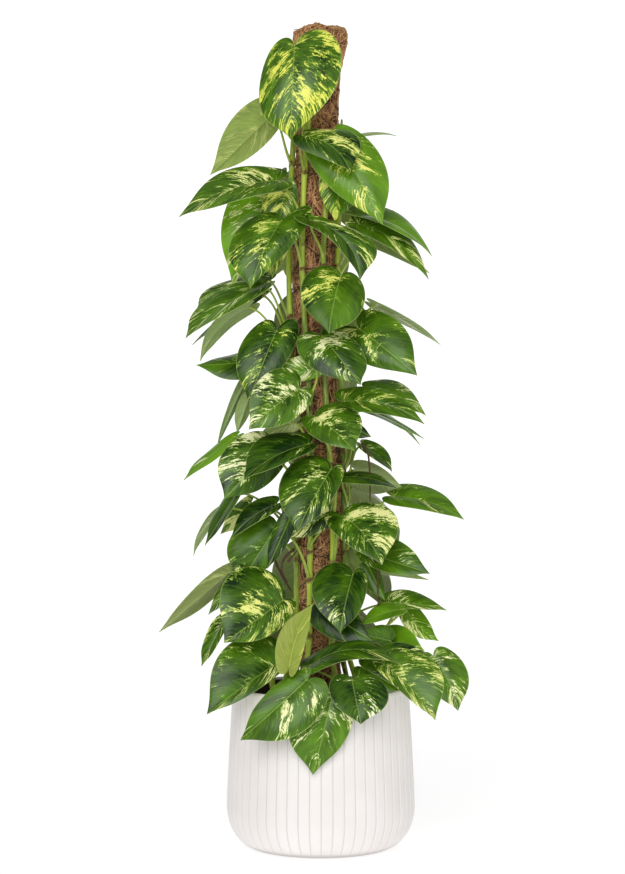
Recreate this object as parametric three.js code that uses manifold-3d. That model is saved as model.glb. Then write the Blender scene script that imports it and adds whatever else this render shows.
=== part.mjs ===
// A golden pothos climbing a coir pole, in a white pleated pot.
// Millimetres, +Z up. The origin is the centre of the pot's flat underside, and -Y is the front.
import * as THREE from 'three';
import Module from 'manifold-3d';
import { mergeVertices } from 'three/addons/utils/BufferGeometryUtils.js';

const wasm = await Module();
wasm.setup();

// Clearance between neighbouring pieces
const GAP = 0.35;

// Pot
const POT_HEIGHT = 238;
const POT_RIM_RADIUS = 132;
const POT_BELLY_RADIUS = 141;
const POT_BASE_RADIUS = 98;
const POT_WALL = 5;
const POT_FLOOR = 7;
const PLEATS = 52;
const POT_INSIDE_SIDES = 32;
const BELLY_HEIGHT = 62;
const PLEAT_DEPTH = 1.3;
const RIM_BAND = 7;
const BASE_BAND = 7;

// Soil
const SOIL_TOP = 213;
const SOIL_MOUND = 5;
const PLANTING_DEPTH = 60;

// Coir pole and the stake inside it
const POLE_BOTTOM = 70;
const POLE_TOP = 1222;
const POLE_RADIUS = 30;
const POLE_FLARE = 6.5;
const POLE_BEND = -11.5;
const POLE_BEND_HEIGHT = 860;
const POLE_BEND_SPREAD = 230;
const POLE_SIDES = 24;
const POLE_RING_STEP = 65;
const POLE_HOLE_GAP = 1.5;
const TOP_TUFT = 6;
const STAKE_RADIUS = 11;
const STAKE_BOTTOM = 40;
const STAKE_TOP = 1160;
const STAKE_SIDES = 8;
const STAKE_STEPS = 10;

// Stems
const STEM_RADIUS = 4.3;
const STEM_SIDES = 6;
const STEM_STEP = 90;
const STEM_HOLE_GAP = 1.2;
const CLIMB_RADIUS = POLE_RADIUS + STEM_RADIUS + 3;
const JOIN_POLE_AT = 310;
const ROUTE_STEP = 31;
const SWAY = 5;

// Leaves
const BLADE_THICKNESS = 1;
const BLADE_PUFF = 0.07;
const PETIOLE_RADIUS = 2.3;
const LONG_PETIOLE = 75;
const BASE_ANGLE = 100;
const RIBS = [
  { angle: 138, across: [-1, 0, 1] },
  { angle: BASE_ANGLE, across: [-1, 0, 1] },
  { angle: 68, across: [-1, -0.55, 0, 0.55, 1] },
  { angle: 40, across: [-1, 0, 1] },
  { angle: 18, across: [-1, 0, 1] },
];
const SLIVER = 0.05;

// Back leaves: tiers up the stems, and how the leaves grow
const LOWEST_TIER = 352;
const TIER_STEP = 94;
const BACK_LENGTH = 120;
const BACK_DROOP = 54;

// The front leaves are set out as they are seen by an eye this far in front, at this height
const EYE = { across: -12.4, distance: 3000, height: 611 };

// Materials, one for each finish
function material(color, roughness) {
  return new THREE.MeshStandardMaterial({ color, roughness, metalness: 0 });
}
const potGlaze = material('#f2eeec', 0.45);
const pottingSoil = material('#2c2019', 0.95);
const coirFibre = material('#6b4127', 0.95);
const stakeWood = material('#a98658', 0.8);
const leafGreen = material('#4f8a2c', 0.4);

// Turns a closed geometry into a solid, and a solid back into a geometry
function toSolid(geometry) {
  const bare = geometry.clone();
  bare.deleteAttribute('normal');
  bare.deleteAttribute('uv');
  const merged = mergeVertices(bare, 1e-4);
  return new wasm.Manifold(new wasm.Mesh({
    numProp: 3,
    vertProperties: new Float32Array(merged.attributes.position.array),
    triVerts: new Uint32Array(merged.index.array),
  }));
}

function toGeometry(solid) {
  const mesh = solid.getMesh();
  const geometry = new THREE.BufferGeometry();
  geometry.setAttribute('position', new THREE.BufferAttribute(mesh.vertProperties, 3));
  geometry.setIndex(new THREE.BufferAttribute(mesh.triVerts, 1));
  geometry.computeVertexNormals();
  return geometry;
}

// Joins solids into one body, without loose scraps or sealed hollows
function fuse(solids) {
  const joined = solids.reduce((whole, solid) => whole.add(solid)).simplify(SLIVER);
  const bodies = joined.decompose();
  bodies.sort((one, other) => other.volume() - one.volume());
  return bodies[0];
}

// A turned body whose profile is a list of [radius, height] pairs, about the vertical axis
function turned(profile, sides) {
  const points = profile.map(([radius, height]) => new THREE.Vector2(radius, height));
  const geometry = new THREE.LatheGeometry(points, sides);
  geometry.rotateX(Math.PI / 2);
  return geometry;
}

// Moves every vertex by a rule of its angle, radius and height
function reshape(geometry, rule) {
  const position = geometry.attributes.position;
  for (let i = 0; i < position.count; i += 1) {
    const x = position.getX(i);
    const y = position.getY(i);
    const [nextX, nextY, nextZ] = rule(x, y, position.getZ(i));
    position.setXYZ(i, nextX, nextY, nextZ);
  }
  return geometry;
}

// A round rod of a few sides along a smooth curve through points
function rod(points, radius, sides, steps) {
  const corner = (index) => {
    const angle = 2 * Math.PI * index / sides;
    return new THREE.Vector2(radius * Math.cos(angle), radius * Math.sin(angle));
  };
  const section = new THREE.Shape(Array.from({ length: sides }, (_, index) => corner(index)));
  const extrudePath = new THREE.CatmullRomCurve3(points);
  return toSolid(new THREE.ExtrudeGeometry(section, { steps, extrudePath, bevelEnabled: false }));
}

function between(low, high, value) {
  return THREE.MathUtils.smoothstep(value, low, high);
}

// The pole leans a little to the left at mid height
function poleCentre(height) {
  const away = (height - POLE_BEND_HEIGHT) / POLE_BEND_SPREAD;
  return new THREE.Vector3(POLE_BEND * Math.exp(-away * away), 0, height);
}

// Pot: pleats all round between a plain rim band and a plain base band
function potWallRadius(height) {
  const below = Math.max(0, 1 - height / BELLY_HEIGHT);
  const above = Math.max(0, (height - BELLY_HEIGHT) / (POT_HEIGHT - BELLY_HEIGHT));
  const foot = (POT_BELLY_RADIUS - POT_BASE_RADIUS) * (1 - Math.sqrt(1 - below ** 2));
  return POT_BELLY_RADIUS - foot - (POT_BELLY_RADIUS - POT_RIM_RADIUS) * above ** 1.15;
}

function pot() {
  const heights = [BASE_BAND, 26, 60, 150, POT_HEIGHT - RIM_BAND];
  const outside = [[0, 0], [POT_BASE_RADIUS, 0]];
  heights.forEach((height) => outside.push([potWallRadius(height), height]));
  outside.push([POT_RIM_RADIUS, POT_HEIGHT], [0, POT_HEIGHT]);
  const shell = reshape(turned(outside, 2 * PLEATS), (x, y, z) => {
    const radius = Math.hypot(x, y);
    const side = Math.round(Math.atan2(y, x) / (Math.PI / PLEATS));
    const pleated = radius > 1 && z > BASE_BAND + 1 && z < POT_HEIGHT - 1 && side % 2 !== 0;
    const scale = pleated ? 1 - PLEAT_DEPTH / radius : 1;
    return [x * scale, y * scale, z];
  });
  return toSolid(shell).subtract(toSolid(turned(potInside(0), POT_INSIDE_SIDES)));
}

// The pot's inside, or with a gap the soil that fills it
function potInside(gap) {
  const inner = (height) => potWallRadius(height) - POT_WALL - gap;
  const profile = [[0, POT_FLOOR + gap], [POT_BASE_RADIUS - 8 - gap, POT_FLOOR + gap]];
  [22, 60, SOIL_TOP].forEach((height) => profile.push([inner(height), height]));
  if (gap > 0) {
    profile.push([70, SOIL_TOP + SOIL_MOUND], [0, SOIL_TOP + SOIL_MOUND]);
  } else {
    profile.push([POT_RIM_RADIUS - POT_WALL, POT_HEIGHT + 1], [0, POT_HEIGHT + 1]);
  }
  return profile;
}

// Soil, with plain holes where the pole and the stems stand in it
function soil(plungers) {
  const ground = toSolid(turned(potInside(GAP), POT_INSIDE_SIDES));
  return plungers.reduce((rest, plunger) => rest.subtract(plunger), ground);
}

// Coir pole: uneven fibre wound round a stake, frayed wider at its top
function coirRadius(angle, height) {
  const lumps = 0.8 * Math.sin(3 * angle + height / 61) + 0.7 * Math.sin(2 * angle - height / 37);
  const flare = POLE_FLARE * between(1150, 1205, height) * (1 + 0.3 * Math.cos(2 * angle));
  return POLE_RADIUS + (height > SOIL_TOP + 20 ? lumps : 0) + flare;
}

function coirPole() {
  const profile = [[0, POLE_BOTTOM], [1, POLE_BOTTOM]];
  for (let height = 200; height < POLE_TOP - 20; height += POLE_RING_STEP) {
    profile.push([1, height]);
  }
  profile.push([1, POLE_TOP - 6], [0.72, POLE_TOP + 1], [0, POLE_TOP + 3]);
  const skin = reshape(turned(profile, POLE_SIDES), (x, y, z) => {
    const radius = coirRadius(Math.atan2(y, x), z);
    const tuft = z > POLE_TOP - 15 ? TOP_TUFT * Math.sin(x * 3 + 1.2) * Math.hypot(x, y) : 0;
    return [poleCentre(z).x + x * radius, y * radius, z + tuft];
  });
  return toSolid(skin).subtract(stake(STAKE_BOTTOM - 5, STAKE_TOP + GAP, STAKE_RADIUS + GAP));
}

function stake(bottom, top, radius) {
  const height = (share) => bottom + (top - bottom) * share;
  const points = Array.from({ length: STAKE_STEPS + 1 }, (_, i) => poleCentre(height(i / STAKE_STEPS)));
  return rod(points, radius, STAKE_SIDES, STAKE_STEPS);
}

// Leaf outline: a heart with a drawn-out tip, by the angle round its base from the tip
const WIDEST = 0.645;
function margin(angle) {
  const rounding = -0.07 * Math.cos(2 * angle) - 0.01 * Math.cos(3 * angle);
  const reach = 0.48 + 0.42 * Math.cos(angle) + rounding + 0.18 * Math.exp(-angle / 0.18);
  return { along: reach * Math.cos(angle), across: reach * Math.sin(angle) / WIDEST };
}

// A place on a blade: along its midrib from base to tip, and across towards side a (+) or b (-)
function midribPoint(leaf, along) {
  const bow = along > 0 ? 4 * along * (1 - along) : 2 * along;
  return leaf.base.clone().lerp(leaf.tip, along).addScaledVector(leaf.bow, bow);
}

// Where a rib leaves the midrib: the lobes' ribs all leave the base
function ribRoot(angle) {
  const beyond = 1 - angle / THREE.MathUtils.degToRad(BASE_ANGLE);
  return beyond > 0 ? beyond ** 1.7 : 0;
}

function bladePoint(leaf, angle, across) {
  const edge = margin(angle);
  const root = ribRoot(angle);
  const out = Math.abs(across);
  const point = midribPoint(leaf, root + (edge.along - root) * out);
  const half = across > 0 ? leaf.sideA : leaf.sideB;
  const axis = leaf.tip.clone().sub(leaf.base).normalize();
  const up = axis.cross(half).normalize().multiplyScalar(across > 0 ? -1 : 1);
  const puff = leaf.facing * BLADE_PUFF * half.length() * edge.across * 4 * out * (1 - out);
  return point.addScaledVector(half, edge.across * out).addScaledVector(up, puff);
}

// A blade's middle sheet: a row of points along each rib. Its base is a short row of its own,
// where the petiole joins: the midrib, and a flank on each side.
function bladeSheet(leaf) {
  const flank = (side, across) => (
    { across, point: leaf.base.clone().addScaledVector(side.clone().normalize(), PETIOLE_RADIUS) }
  );
  const points = [];
  const entry = ({ across, point }) => ({ across, index: points.push(point) - 1 });
  const base = [flank(leaf.sideB, -1), { across: 0, point: leaf.base }, flank(leaf.sideA, 1)].map(entry);
  const rows = RIBS.map(({ angle, across }) => across.map((step) => {
    const point = bladePoint(leaf, THREE.MathUtils.degToRad(angle), step);
    const atBase = point.distanceTo(leaf.base) < SLIVER;
    return atBase ? base[1] : entry({ across: step, point });
  }));
  const tip = [entry({ across: 0, point: leaf.tip })];
  return { points, rows: [base, ...rows, tip] };
}

// Triangles between two rows, advancing along whichever row lags behind
function stitch(lower, upper) {
  const faces = [];
  let [i, j] = [0, 0];
  while (i + 1 < lower.length || j + 1 < upper.length) {
    const lowerNext = i + 1 < lower.length ? lower[i + 1].across : Infinity;
    const upperNext = j + 1 < upper.length ? upper[j + 1].across : Infinity;
    const alongLower = lowerNext <= upperNext;
    const corner = alongLower ? lower[i + 1].index : upper[j + 1].index;
    faces.push([lower[i].index, corner, upper[j].index]);
    i += alongLower ? 1 : 0;
    j += alongLower ? 0 : 1;
  }
  return faces.filter(([a, b, c]) => a !== b && b !== c && c !== a);
}

// The petiole's path rises from the stem and arches over to the blade's base
function petiolePath(leaf, from, outward) {
  const length = from.distanceTo(leaf.base);
  const axis = leaf.tip.clone().sub(leaf.base).normalize();
  const arrival = leaf.base.clone().sub(from).normalize().addScaledVector(axis, 0.7).normalize();
  const rise = from.clone().addScaledVector(outward, 0.22 * length);
  rise.z += 0.3 * length;
  const before = leaf.base.clone().addScaledVector(arrival, -0.32 * length);
  const arch = new THREE.CubicBezierCurve3(from, rise, before, leaf.base);
  return arch.getPoints(length > LONG_PETIOLE ? 4 : 3).reverse();
}

// Four-sided rings along the petiole, carried back from the ring where it meets the blade
function petioleRings(path, ring) {
  const rings = [ring];
  let spokes = ring.map((point) => point.clone().sub(path[0]));
  let heading = spokes[1].clone().cross(spokes[0]).normalize();
  path.slice(1).forEach((point, i) => {
    const next = path[i].clone().sub(path[Math.min(i + 2, path.length - 1)]).normalize();
    const turn = new THREE.Quaternion().setFromUnitVectors(heading, next);
    spokes = spokes.map((spoke) => spoke.clone().applyQuaternion(turn).setLength(PETIOLE_RADIUS));
    heading = next;
    rings.push(spokes.map((spoke) => spoke.clone().add(point)));
  });
  return rings;
}

// A leaf: the sheet thickened alike on both faces, closed round its rim, and opened at its base
// into a petiole that ends inside the stem
function leafSolid(leaf, from, outward) {
  const { points, rows } = bladeSheet(leaf);
  const faces = rows.slice(1).flatMap((row, i) => stitch(rows[i], row));
  const sheet = new THREE.BufferGeometry().setFromPoints(points);
  sheet.setIndex(faces.flat());
  sheet.computeVertexNormals();
  const [flankB, middle, flankA] = rows[0].map(({ index }) => index);
  const normal = new THREE.Vector3();
  const shifted = (i, side) => {
    const reach = i === middle ? PETIOLE_RADIUS * 0.8 : BLADE_THICKNESS / 2;
    normal.fromBufferAttribute(sheet.attributes.normal, i);
    return points[i].clone().addScaledVector(normal, side * reach);
  };
  const onFlank = (i) => i === flankA || i === flankB;
  const vertices = points.map((point, i) => (onFlank(i) ? point : shifted(i, 1)));
  const below = points.map((_, i) => (onFlank(i) ? i : vertices.push(shifted(i, -1)) - 1));
  const closed = [...faces, ...faces.map(([a, b, c]) => [below[a], below[c], below[b]])];

  const up = rows.map((row) => row.at(-1).index);
  const down = rows.slice(0, -1).reverse().map((row) => row[0].index);
  const rim = [...up, ...down];
  rim.slice(1).forEach((next, k) => {
    const here = rim[k];
    closed.push([here, below[here], below[next]], [here, below[next], next]);
  });

  let ring = [flankA, middle, flankB, below[middle]];
  const rings = petioleRings(petiolePath(leaf, from, outward), ring.map((i) => vertices[i]));
  rings.slice(1).forEach((corners) => {
    const far = corners.map((corner) => vertices.push(corner) - 1);
    far.forEach((corner, k) => {
      const beside = (k + 1) % far.length;
      closed.push([ring[k], ring[beside], far[beside]], [ring[k], far[beside], corner]);
    });
    ring = far;
  });
  closed.push([ring[0], ring[1], ring[2]], [ring[0], ring[2], ring[3]]);

  const geometry = new THREE.BufferGeometry().setFromPoints(vertices);
  geometry.setIndex(closed.filter(([a, b, c]) => a !== b && b !== c && c !== a).flat());
  return toSolid(geometry);
}

// A front leaf's row: label, height on the stem where its petiole leaves, base, tip, midrib bow,
// side a, side b, and 'under' where its underside faces the front. Base and tip are
// [across, height, depth] as seen from the front against the pole; bow and sides are [across, depth],
// square to the blade's axis as seen, and side a is clockwise from the tip. A third number slants
// a side: more towards the tip, or with a minus towards the base.
function seen([across, height, depth]) {
  const scale = (EYE.distance + depth) / EYE.distance;
  const x = EYE.across + (across - EYE.across) * scale;
  return new THREE.Vector3(x, depth, EYE.height + (height - EYE.height) * scale);
}

function frontLeaf([, at, base, tip, bow, sideA, sideB, side]) {
  const ends = { base: seen(base), tip: seen(tip) };
  const axis = ends.tip.clone().sub(ends.base).setY(0).normalize();
  const square = ([across, depth, along = 0]) => (
    new THREE.Vector3(axis.z * across, depth, -axis.x * across).addScaledVector(axis, along)
  );
  return {
    ...ends,
    at,
    bow: square(bow),
    sideA: square(sideA),
    sideB: square([-sideB[0], sideB[1], sideB[2]]),
    facing: side === 'under' ? -1 : 1,
  };
}

// A leaf that grows straight out at a bearing: used round the back and sides
function outwardLeaf([at, height, bearing, reach, length, droop, roll]) {
  const turn = THREE.MathUtils.degToRad(bearing);
  const fall = THREE.MathUtils.degToRad(droop);
  const tilt = THREE.MathUtils.degToRad(roll);
  const out = new THREE.Vector3(Math.cos(turn), Math.sin(turn), 0);
  const across = new THREE.Vector3(-out.y, out.x, 0);
  const axis = out.clone().multiplyScalar(Math.cos(fall)).setZ(-Math.sin(fall));
  const up = across.clone().cross(axis).negate();
  const base = poleCentre(height).addScaledVector(out, reach);
  const side = across.clone().multiplyScalar(Math.cos(tilt)).addScaledVector(up, Math.sin(tilt));
  const half = 0.38 * length;
  return {
    base,
    tip: base.clone().addScaledVector(axis, length),
    at,
    bow: up.clone().multiplyScalar(0.1 * length),
    sideA: side.clone().multiplyScalar(-half).addScaledVector(up, -0.12 * length),
    sideB: side.clone().multiplyScalar(half).addScaledVector(up, -0.12 * length),
    facing: 1,
  };
}

// Routes: a climbing stem leaves the soil at [x, y] and joins the pole at a bearing
function climbingRoute([x, y], bearing, top) {
  const points = [new THREE.Vector3(x, y, SOIL_TOP - PLANTING_DEPTH)];
  for (let height = SOIL_TOP + 10; height < top; height += ROUTE_STEP) {
    const joined = between(SOIL_TOP, JOIN_POLE_AT, height);
    const sway = THREE.MathUtils.degToRad(bearing + SWAY * Math.sin(height / 95 + bearing));
    const flare = 5 * between(1130, 1170, height);
    const side = new THREE.Vector3(Math.cos(sway), Math.sin(sway), 0).multiplyScalar(CLIMB_RADIUS + flare);
    points.push(new THREE.Vector3(x, y, height).lerp(poleCentre(height).add(side), joined));
  }
  return points;
}

// The point of a route at a height
function onRoute(route, height) {
  const next = Math.max(1, route.findIndex((point) => point.z >= height));
  const [low, high] = [route[next - 1], route[next]];
  return low.clone().lerp(high, (height - low.z) / (high.z - low.z));
}

// Climbing and low stems with their leaves
const LEFT_LEAVES = [
  ['L2', 1020, [-76, 1092, -22], [-166, 1004, -48], [0, 0], [34, -20, -8], [23, 15], 'under'],
  ['L4', 905, [-61, 982, -24], [-133, 836, -30], [0, -4], [62, 4], [16, 0]],
  ['L20a', 790, [-85, 852, -12], [-188, 799, -26], [6, 0], [18, 22, 30], [14, -16]],
  ['L20b', 765, [-88, 839, -46], [-203, 759, -88], [8, 0], [25, 16, 26], [15, -30, 4]],
  ['L20c', 750, [-90, 825, -10], [-193, 749, -30], [4, 0], [8, 20], [8, -20]],
  ['L21', 720, [-109, 806, -38], [-181, 724, -60], [12, 0], [11, -18, 8], [12, 20], 'under'],
  ['L19', 660, [-88, 731, -28], [-187, 719, -45], [-4, 0], [16, 30], [27, -15]],
  ['Q1', 630, [-111, 698, -24], [-156, 596, -28], [2, 0], [8, -10], [6, 14], 'under'],
  ['Q2', 610, [-108, 670, -24], [-126, 616, -24], [0, 0], [13, -4], [8, 12], 'under'],
  ['P1', 545, [-129, 611, -38], [-206, 546, -66], [2, 0], [9, 12, 10], [9, -12]],
  ['P4', 455, [-127, 527, -66], [-174, 448, -90], [0, 0], [13, 18], [8, -16]],
  ['P5', 430, [-144, 505, -34], [-191, 433, -46], [8, 0], [7, -12], [7, 10], 'under'],
  ['P6b', 470, [-105, 512, -12], [-151, 465, -18], [0, 0], [14, 4], [16, -2]],
  ['O1', 340, [-139, 406, -42], [-243, 318, -88], [0, 0], [16, -10], [15, 34], 'under'],
];
const FRONT_LEFT_LEAVES = [
  ['L1', 1045, [-39.5, 1198, -56], [-45.5, 1057, -88], [0, -12], [50, 8, 28], [71, 8, -14]],
  ['L3', 930, [-68, 995, -52], [-213, 941, -86], [12, 0], [31, 24], [25, -35]],
  ['L4b', 900, [-55, 978, -41], [-73, 848, -46], [0, 0], [30, 0], [24, 0]],
  ['L5', 860, [-59, 935, -58], [-106, 834, -98], [4, -8], [52, 8, 22], [40, 12, -40]],
  ['L18', 738, [-67, 769, -45], [-109, 665, -76], [0, -8], [41, 8, 8], [34, 4, -22]],
  ['L17', 655, [-8, 712, -47], [-79, 700, -46], [0, 0], [24, 2], [14, 2]],
  ['L22', 610, [-33, 683, -70], [-108, 622, -104], [2, -6], [46, 4], [32, -5]],
  ['Q3', 560, [-37, 632, -43], [-95, 612, -44], [0, 0], [14, 0], [12, 0], 'under'],
  ['P2', 520, [-73, 596, -56], [-145, 518, -90], [0, -6], [49, 6, 14], [34, 4]],
  ['P3', 598, [-19, 600, -72], [-116, 546, -128], [8, 0], [34, 20, 16], [14, -22, 8]],
  ['P6', 500, [-69, 509, -58], [-136, 456, -82], [6, 0], [18, 12], [10, -20]],
  ['P7', 400, [-67, 476, -42], [-121, 392, -50], [0, -6], [49, 6, 16], [26, 0]],
  ['P7b', 512, [-46, 490, -62], [-80, 413, -70], [0, 0], [16, 4], [12, 6]],
  ['P9', 440, [11, 496, -44], [-51, 460, -46], [0, 0], [20, 0], [18, 0]],
  ['L6', 1005, [-27, 1063, -74], [45, 1008, -100], [-13, 0], [22, -15, 12], [39, 25, 24]],
  ['O7', 315, [-47, 266, -147], [-11, 362, -118], [-6, -6], [15, 6, 4], [25, 8], 'under'],
];
const FRONT_RIGHT_LEAVES = [
  ['L12', 865, [-15, 936, -64], [59, 846, -98], [-20, 0], [18, -18, -8], [34, 8, 34]],
  ['L13', 775, [30, 852, -62], [12, 766, -112], [2, -6], [52, 8, 2], [43, 10, 8]],
  ['L16', 738, [2.5, 762, -62], [60, 689, -96], [0, -4], [44, 0, -16], [34, 10, 20]],
  ['M1', 570, [-5, 641, -64], [50, 590, -112], [-2, -4], [27, -4, -10], [43, 8, 14]],
  ['P8', 490, [15, 562, -72], [-36, 467, -122], [2, -8], [56, 12, 12], [24, -6]],
  ['M7', 425, [36, 492, -62], [92, 419, -118], [-6, -4], [31, -6, -16], [54, 18, 14]],
  ['N1', 335, [48, 404, -72], [29, 316, -125], [2, -8], [54, 6], [26, 0]],
  ['N2', 300, [-4, 358, -62], [77, 305, -95], [0, -4], [30, -8], [26, 10]],
  ['N8', 240, [-15, 269, -92], [120, 270, -128], [-22, 0], [14, -24], [14, 20]],
  ['N13', 228, [47, 246, -134], [60, 180, -168], [0, -6], [35, -8, -8], [47, 6, 10]],
  ['O9', 222, [17, 221, -138], [-12, 104, -148], [0, -6], [51, 6, 12], [37, 6, -8]],
];
const RIGHT_LEAVES = [
  ['L7', 985, [21, 1057, -54], [93, 929, -92], [-2, -6], [50, 8, -24], [46, 14, 6]],
  ['L8', 1000, [52, 1061, 4], [113, 1063, 10], [-4, 0], [3, -30], [3, 32]],
  ['L9', 950, [33, 1019, -45], [21, 935, -50], [0, 0], [32, 0], [32, 12]],
  ['L10', 900, [54, 946, -24], [167, 882, -62], [-14, 0], [10, -26], [20, 30]],
  ['L11', 865, [58, 930, -36], [162, 847, -72], [-14, 0], [15, -10], [22, 26]],
  ['L11b', 850, [78, 905, 4], [164, 856, -26], [-4, 0], [12, -20], [10, 18], 'under'],
  ['L14', 705, [59, 773, -40], [145, 703, -82], [0, -6], [41, 8, -24], [45, 14]],
  ['L15', 725, [82, 808, -12], [180, 749, -25], [-4, 0], [5, 25], [5, -25], 'under'],
  ['R1a', 625, [71, 682, -2], [158, 643, -22], [-8, 0], [16, -16], [22, 25, 4]],
  ['R1b', 600, [36, 664, -46], [156, 630, -66], [-12, 0], [16, -18], [24, 18]],
  ['R1c', 592, [52, 658, 20], [155, 608, 4], [-4, 0], [6, -18], [6, 18]],
  ['R1d', 560, [64, 655, 40], [149, 599, 26], [-9, 0], [4, -15], [5, 15]],
  ['M2', 570, [40, 628, -28], [76, 611, -34], [0, 0], [12, -4], [10, 4]],
  ['M3', 535, [62, 600, -16], [107, 559, -42], [-3, 0], [8, -20], [15, 12, 8]],
  ['M4', 480, [52, 562, -14], [122, 536, -30], [0, 0], [28, 20], [18, -14], 'under'],
  ['M5', 500, [35, 551, -42], [116, 533, -62], [-6, 0], [9, -22], [9, 22]],
  ['M6', 440, [109, 522, -18], [215, 487, -55], [-8, 0], [14, -24], [23, 24, 6]],
  ['M8', 370, [68, 438, -45], [164, 406, -85], [0, -4], [18, -10], [33, 14]],
  ['M8b', 350, [69, 412, -15], [162, 397, -40], [0, 0], [5, 20], [12, -14], 'under'],
  ['M9', 380, [44, 455, 8], [60, 408, 2], [0, 0], [12, 0], [14, 0], 'under'],
  ['N3b', 340, [71, 418, -50], [96, 366, -64], [0, 0], [16, 0], [12, 8]],
  ['N5', 330, [98, 362, -30], [189, 351, -70], [-4, 0], [8, -8], [17, 22]],
];
const LOW_RIGHT_LEAVES = [
  ['N4', 318, [120, 352, -62], [60, 328, -79], [4, 0], [13, 14, 4], [8, -12]],
  ['N6', 302, [126, 354, -12], [177, 305, -50], [5, 0], [16, -10], [18, 10]],
  ['N7', 288, [98, 304, -26], [156, 290, -70], [0, -4], [18, -10], [28, 10]],
  ['N7a', 276, [104, 305, -60], [60, 315, -82], [0, 0], [20, 10], [8, -6]],
  ['N9', 248, [93, 284, -66], [159, 287, -98], [-2, 0], [14, -10], [16, 0]],
  ['N10', 230, [95, 269, -98], [172, 186, -142], [-6, -4], [14, -8], [51, 8, 14]],
  ['N11', 262, [170, 281, -52], [206, 200, -78], [-4, 0], [28, -8], [34, 12, 6]],
  ['N12', 220, [62, 266, -76], [122, 230, -100], [0, 0], [20, -8], [22, 10]],
];
const LOW_LEFT_LEAVES = [
  ['O2', 320, [-121, 408, -66], [-169, 344, -92], [0, 0], [12, 12], [14, -6]],
  ['O3', 300, [-57, 366, -80], [-145, 302, -128], [0, -8], [76, 14, 8], [30, -4]],
  ['O5', 280, [-145, 336, -42], [-179, 267, -62], [0, 0], [15, 8, 6], [8, -10]],
  ['O6', 260, [-63, 273, -85], [-171, 195, -128], [2, -8], [61, 18, 4], [15, -10]],
  ['O8', 224, [-22, 246, -141], [-121, 156, -152], [0, -8], [24, 8, 8], [50, -16]],
];

// Label, where it leaves the soil, bearing on the pole or its own route, top, leaves
const climbing = (name, root, bearing, top, leaves) => (
  { name, route: climbingRoute(root, bearing, top), bearing, leaves }
);
const low = (name, points, bearing, leaves) => (
  { name, route: points.map((point) => new THREE.Vector3(...point)), bearing, leaves }
);

// Leaves round the back at these bearings, tier by tier, each drooped and rolled by its count.
// Reach is how far out their bases lie, and rise is how far their petioles climb to them.
function backLeaves(reach, rise, bearings) {
  return bearings.map((bearing, i) => {
    const height = LOWEST_TIER + TIER_STEP * i;
    const length = BACK_LENGTH + 12 * Math.sin(1.7 * i + reach);
    const droop = BACK_DROOP + 10 * Math.sin(2.9 * i);
    const roll = 8 * Math.sin(3.3 * i);
    return outwardLeaf([height - rise, height, bearing, reach, length, droop, roll]);
  });
}

const VINES = [
  climbing('vine_left', [-62, -16], -162, 1110, LEFT_LEAVES.map(frontLeaf)),
  climbing('vine_front_left', [-34, -48], -112, 1125, FRONT_LEFT_LEAVES.map(frontLeaf)),
  climbing('vine_front_right', [26, -50], -66, 1080, FRONT_RIGHT_LEAVES.map(frontLeaf)),
  climbing('vine_right', [60, -12], -14, 1100, RIGHT_LEAVES.map(frontLeaf)),
  climbing('vine_back_right', [44, 42], 46, 1060, backLeaves(68, 75, [50, 42, 36, 78, 84, 56, 84, 50])),
  climbing('vine_back', [0, 60], 93, 1140, backLeaves(104, -15, [91, 91, 96, 91, 79, 84, 91, 91, 91])),
  climbing('vine_back_left', [-46, 40], 140, 1050, backLeaves(68, 75, [133, 109, 97, 133, 133, 99, 137, 133])),
  low('vine_low_right', [[72, -48, 153], [73, -50, 215], [80, -50, 270], [86, -44, 330]], -40,
    LOW_RIGHT_LEAVES.map(frontLeaf)),
  low('vine_low_left', [[-66, -58, 153], [-68, -62, 215], [-74, -62, 270], [-78, -54, 340]], -140,
    LOW_LEFT_LEAVES.map(frontLeaf)),
];

function stemOf(vine, radius) {
  const steps = Math.ceil((vine.route.at(-1).z - vine.route[0].z) / STEM_STEP);
  return rod(vine.route, radius, STEM_SIDES, steps);
}

function vineSolid(vine) {
  const turn = THREE.MathUtils.degToRad(vine.bearing);
  const outward = new THREE.Vector3(Math.cos(turn), Math.sin(turn), 0);
  const leaves = vine.leaves.map((leaf) => leafSolid(leaf, onRoute(vine.route, leaf.at), outward));
  return fuse([stemOf(vine, STEM_RADIUS), ...leaves]);
}

// A stem a little thicker and a little lower cuts the stem's hole in the soil
function stemHole(vine) {
  return stemOf(vine, STEM_RADIUS + STEM_HOLE_GAP).translate([0, 0, -GAP]);
}

const pothos = new THREE.Group();
function add(name, solid, finish) {
  const mesh = new THREE.Mesh(toGeometry(solid), finish);
  mesh.name = name;
  pothos.add(mesh);
}

// The stake's narrow hole below the coir's wider one
function poleHole() {
  const narrow = STAKE_RADIUS + STEM_HOLE_GAP;
  const wide = POLE_RADIUS + POLE_HOLE_GAP;
  return toSolid(turned([
    [0, STAKE_BOTTOM - GAP], [narrow, STAKE_BOTTOM - GAP], [narrow, POLE_BOTTOM - GAP],
    [wide, POLE_BOTTOM - GAP], [wide, POT_HEIGHT], [0, POT_HEIGHT],
  ], POLE_SIDES));
}

add('pot', pot(), potGlaze);
add('soil', soil([poleHole(), ...VINES.map(stemHole)]), pottingSoil);
add('pole_stake', stake(STAKE_BOTTOM, STAKE_TOP, STAKE_RADIUS), stakeWood);
add('coir_pole', coirPole(), coirFibre);
VINES.forEach((vine) => add(vine.name, vineSolid(vine), leafGreen));

export default pothos;
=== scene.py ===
"""A potted golden pothos on a coir pole: the looks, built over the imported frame.

Metres, +Z up, -Y towards the front. Leaf rows repeat the part's own rows, in millimetres.
"""

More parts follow.
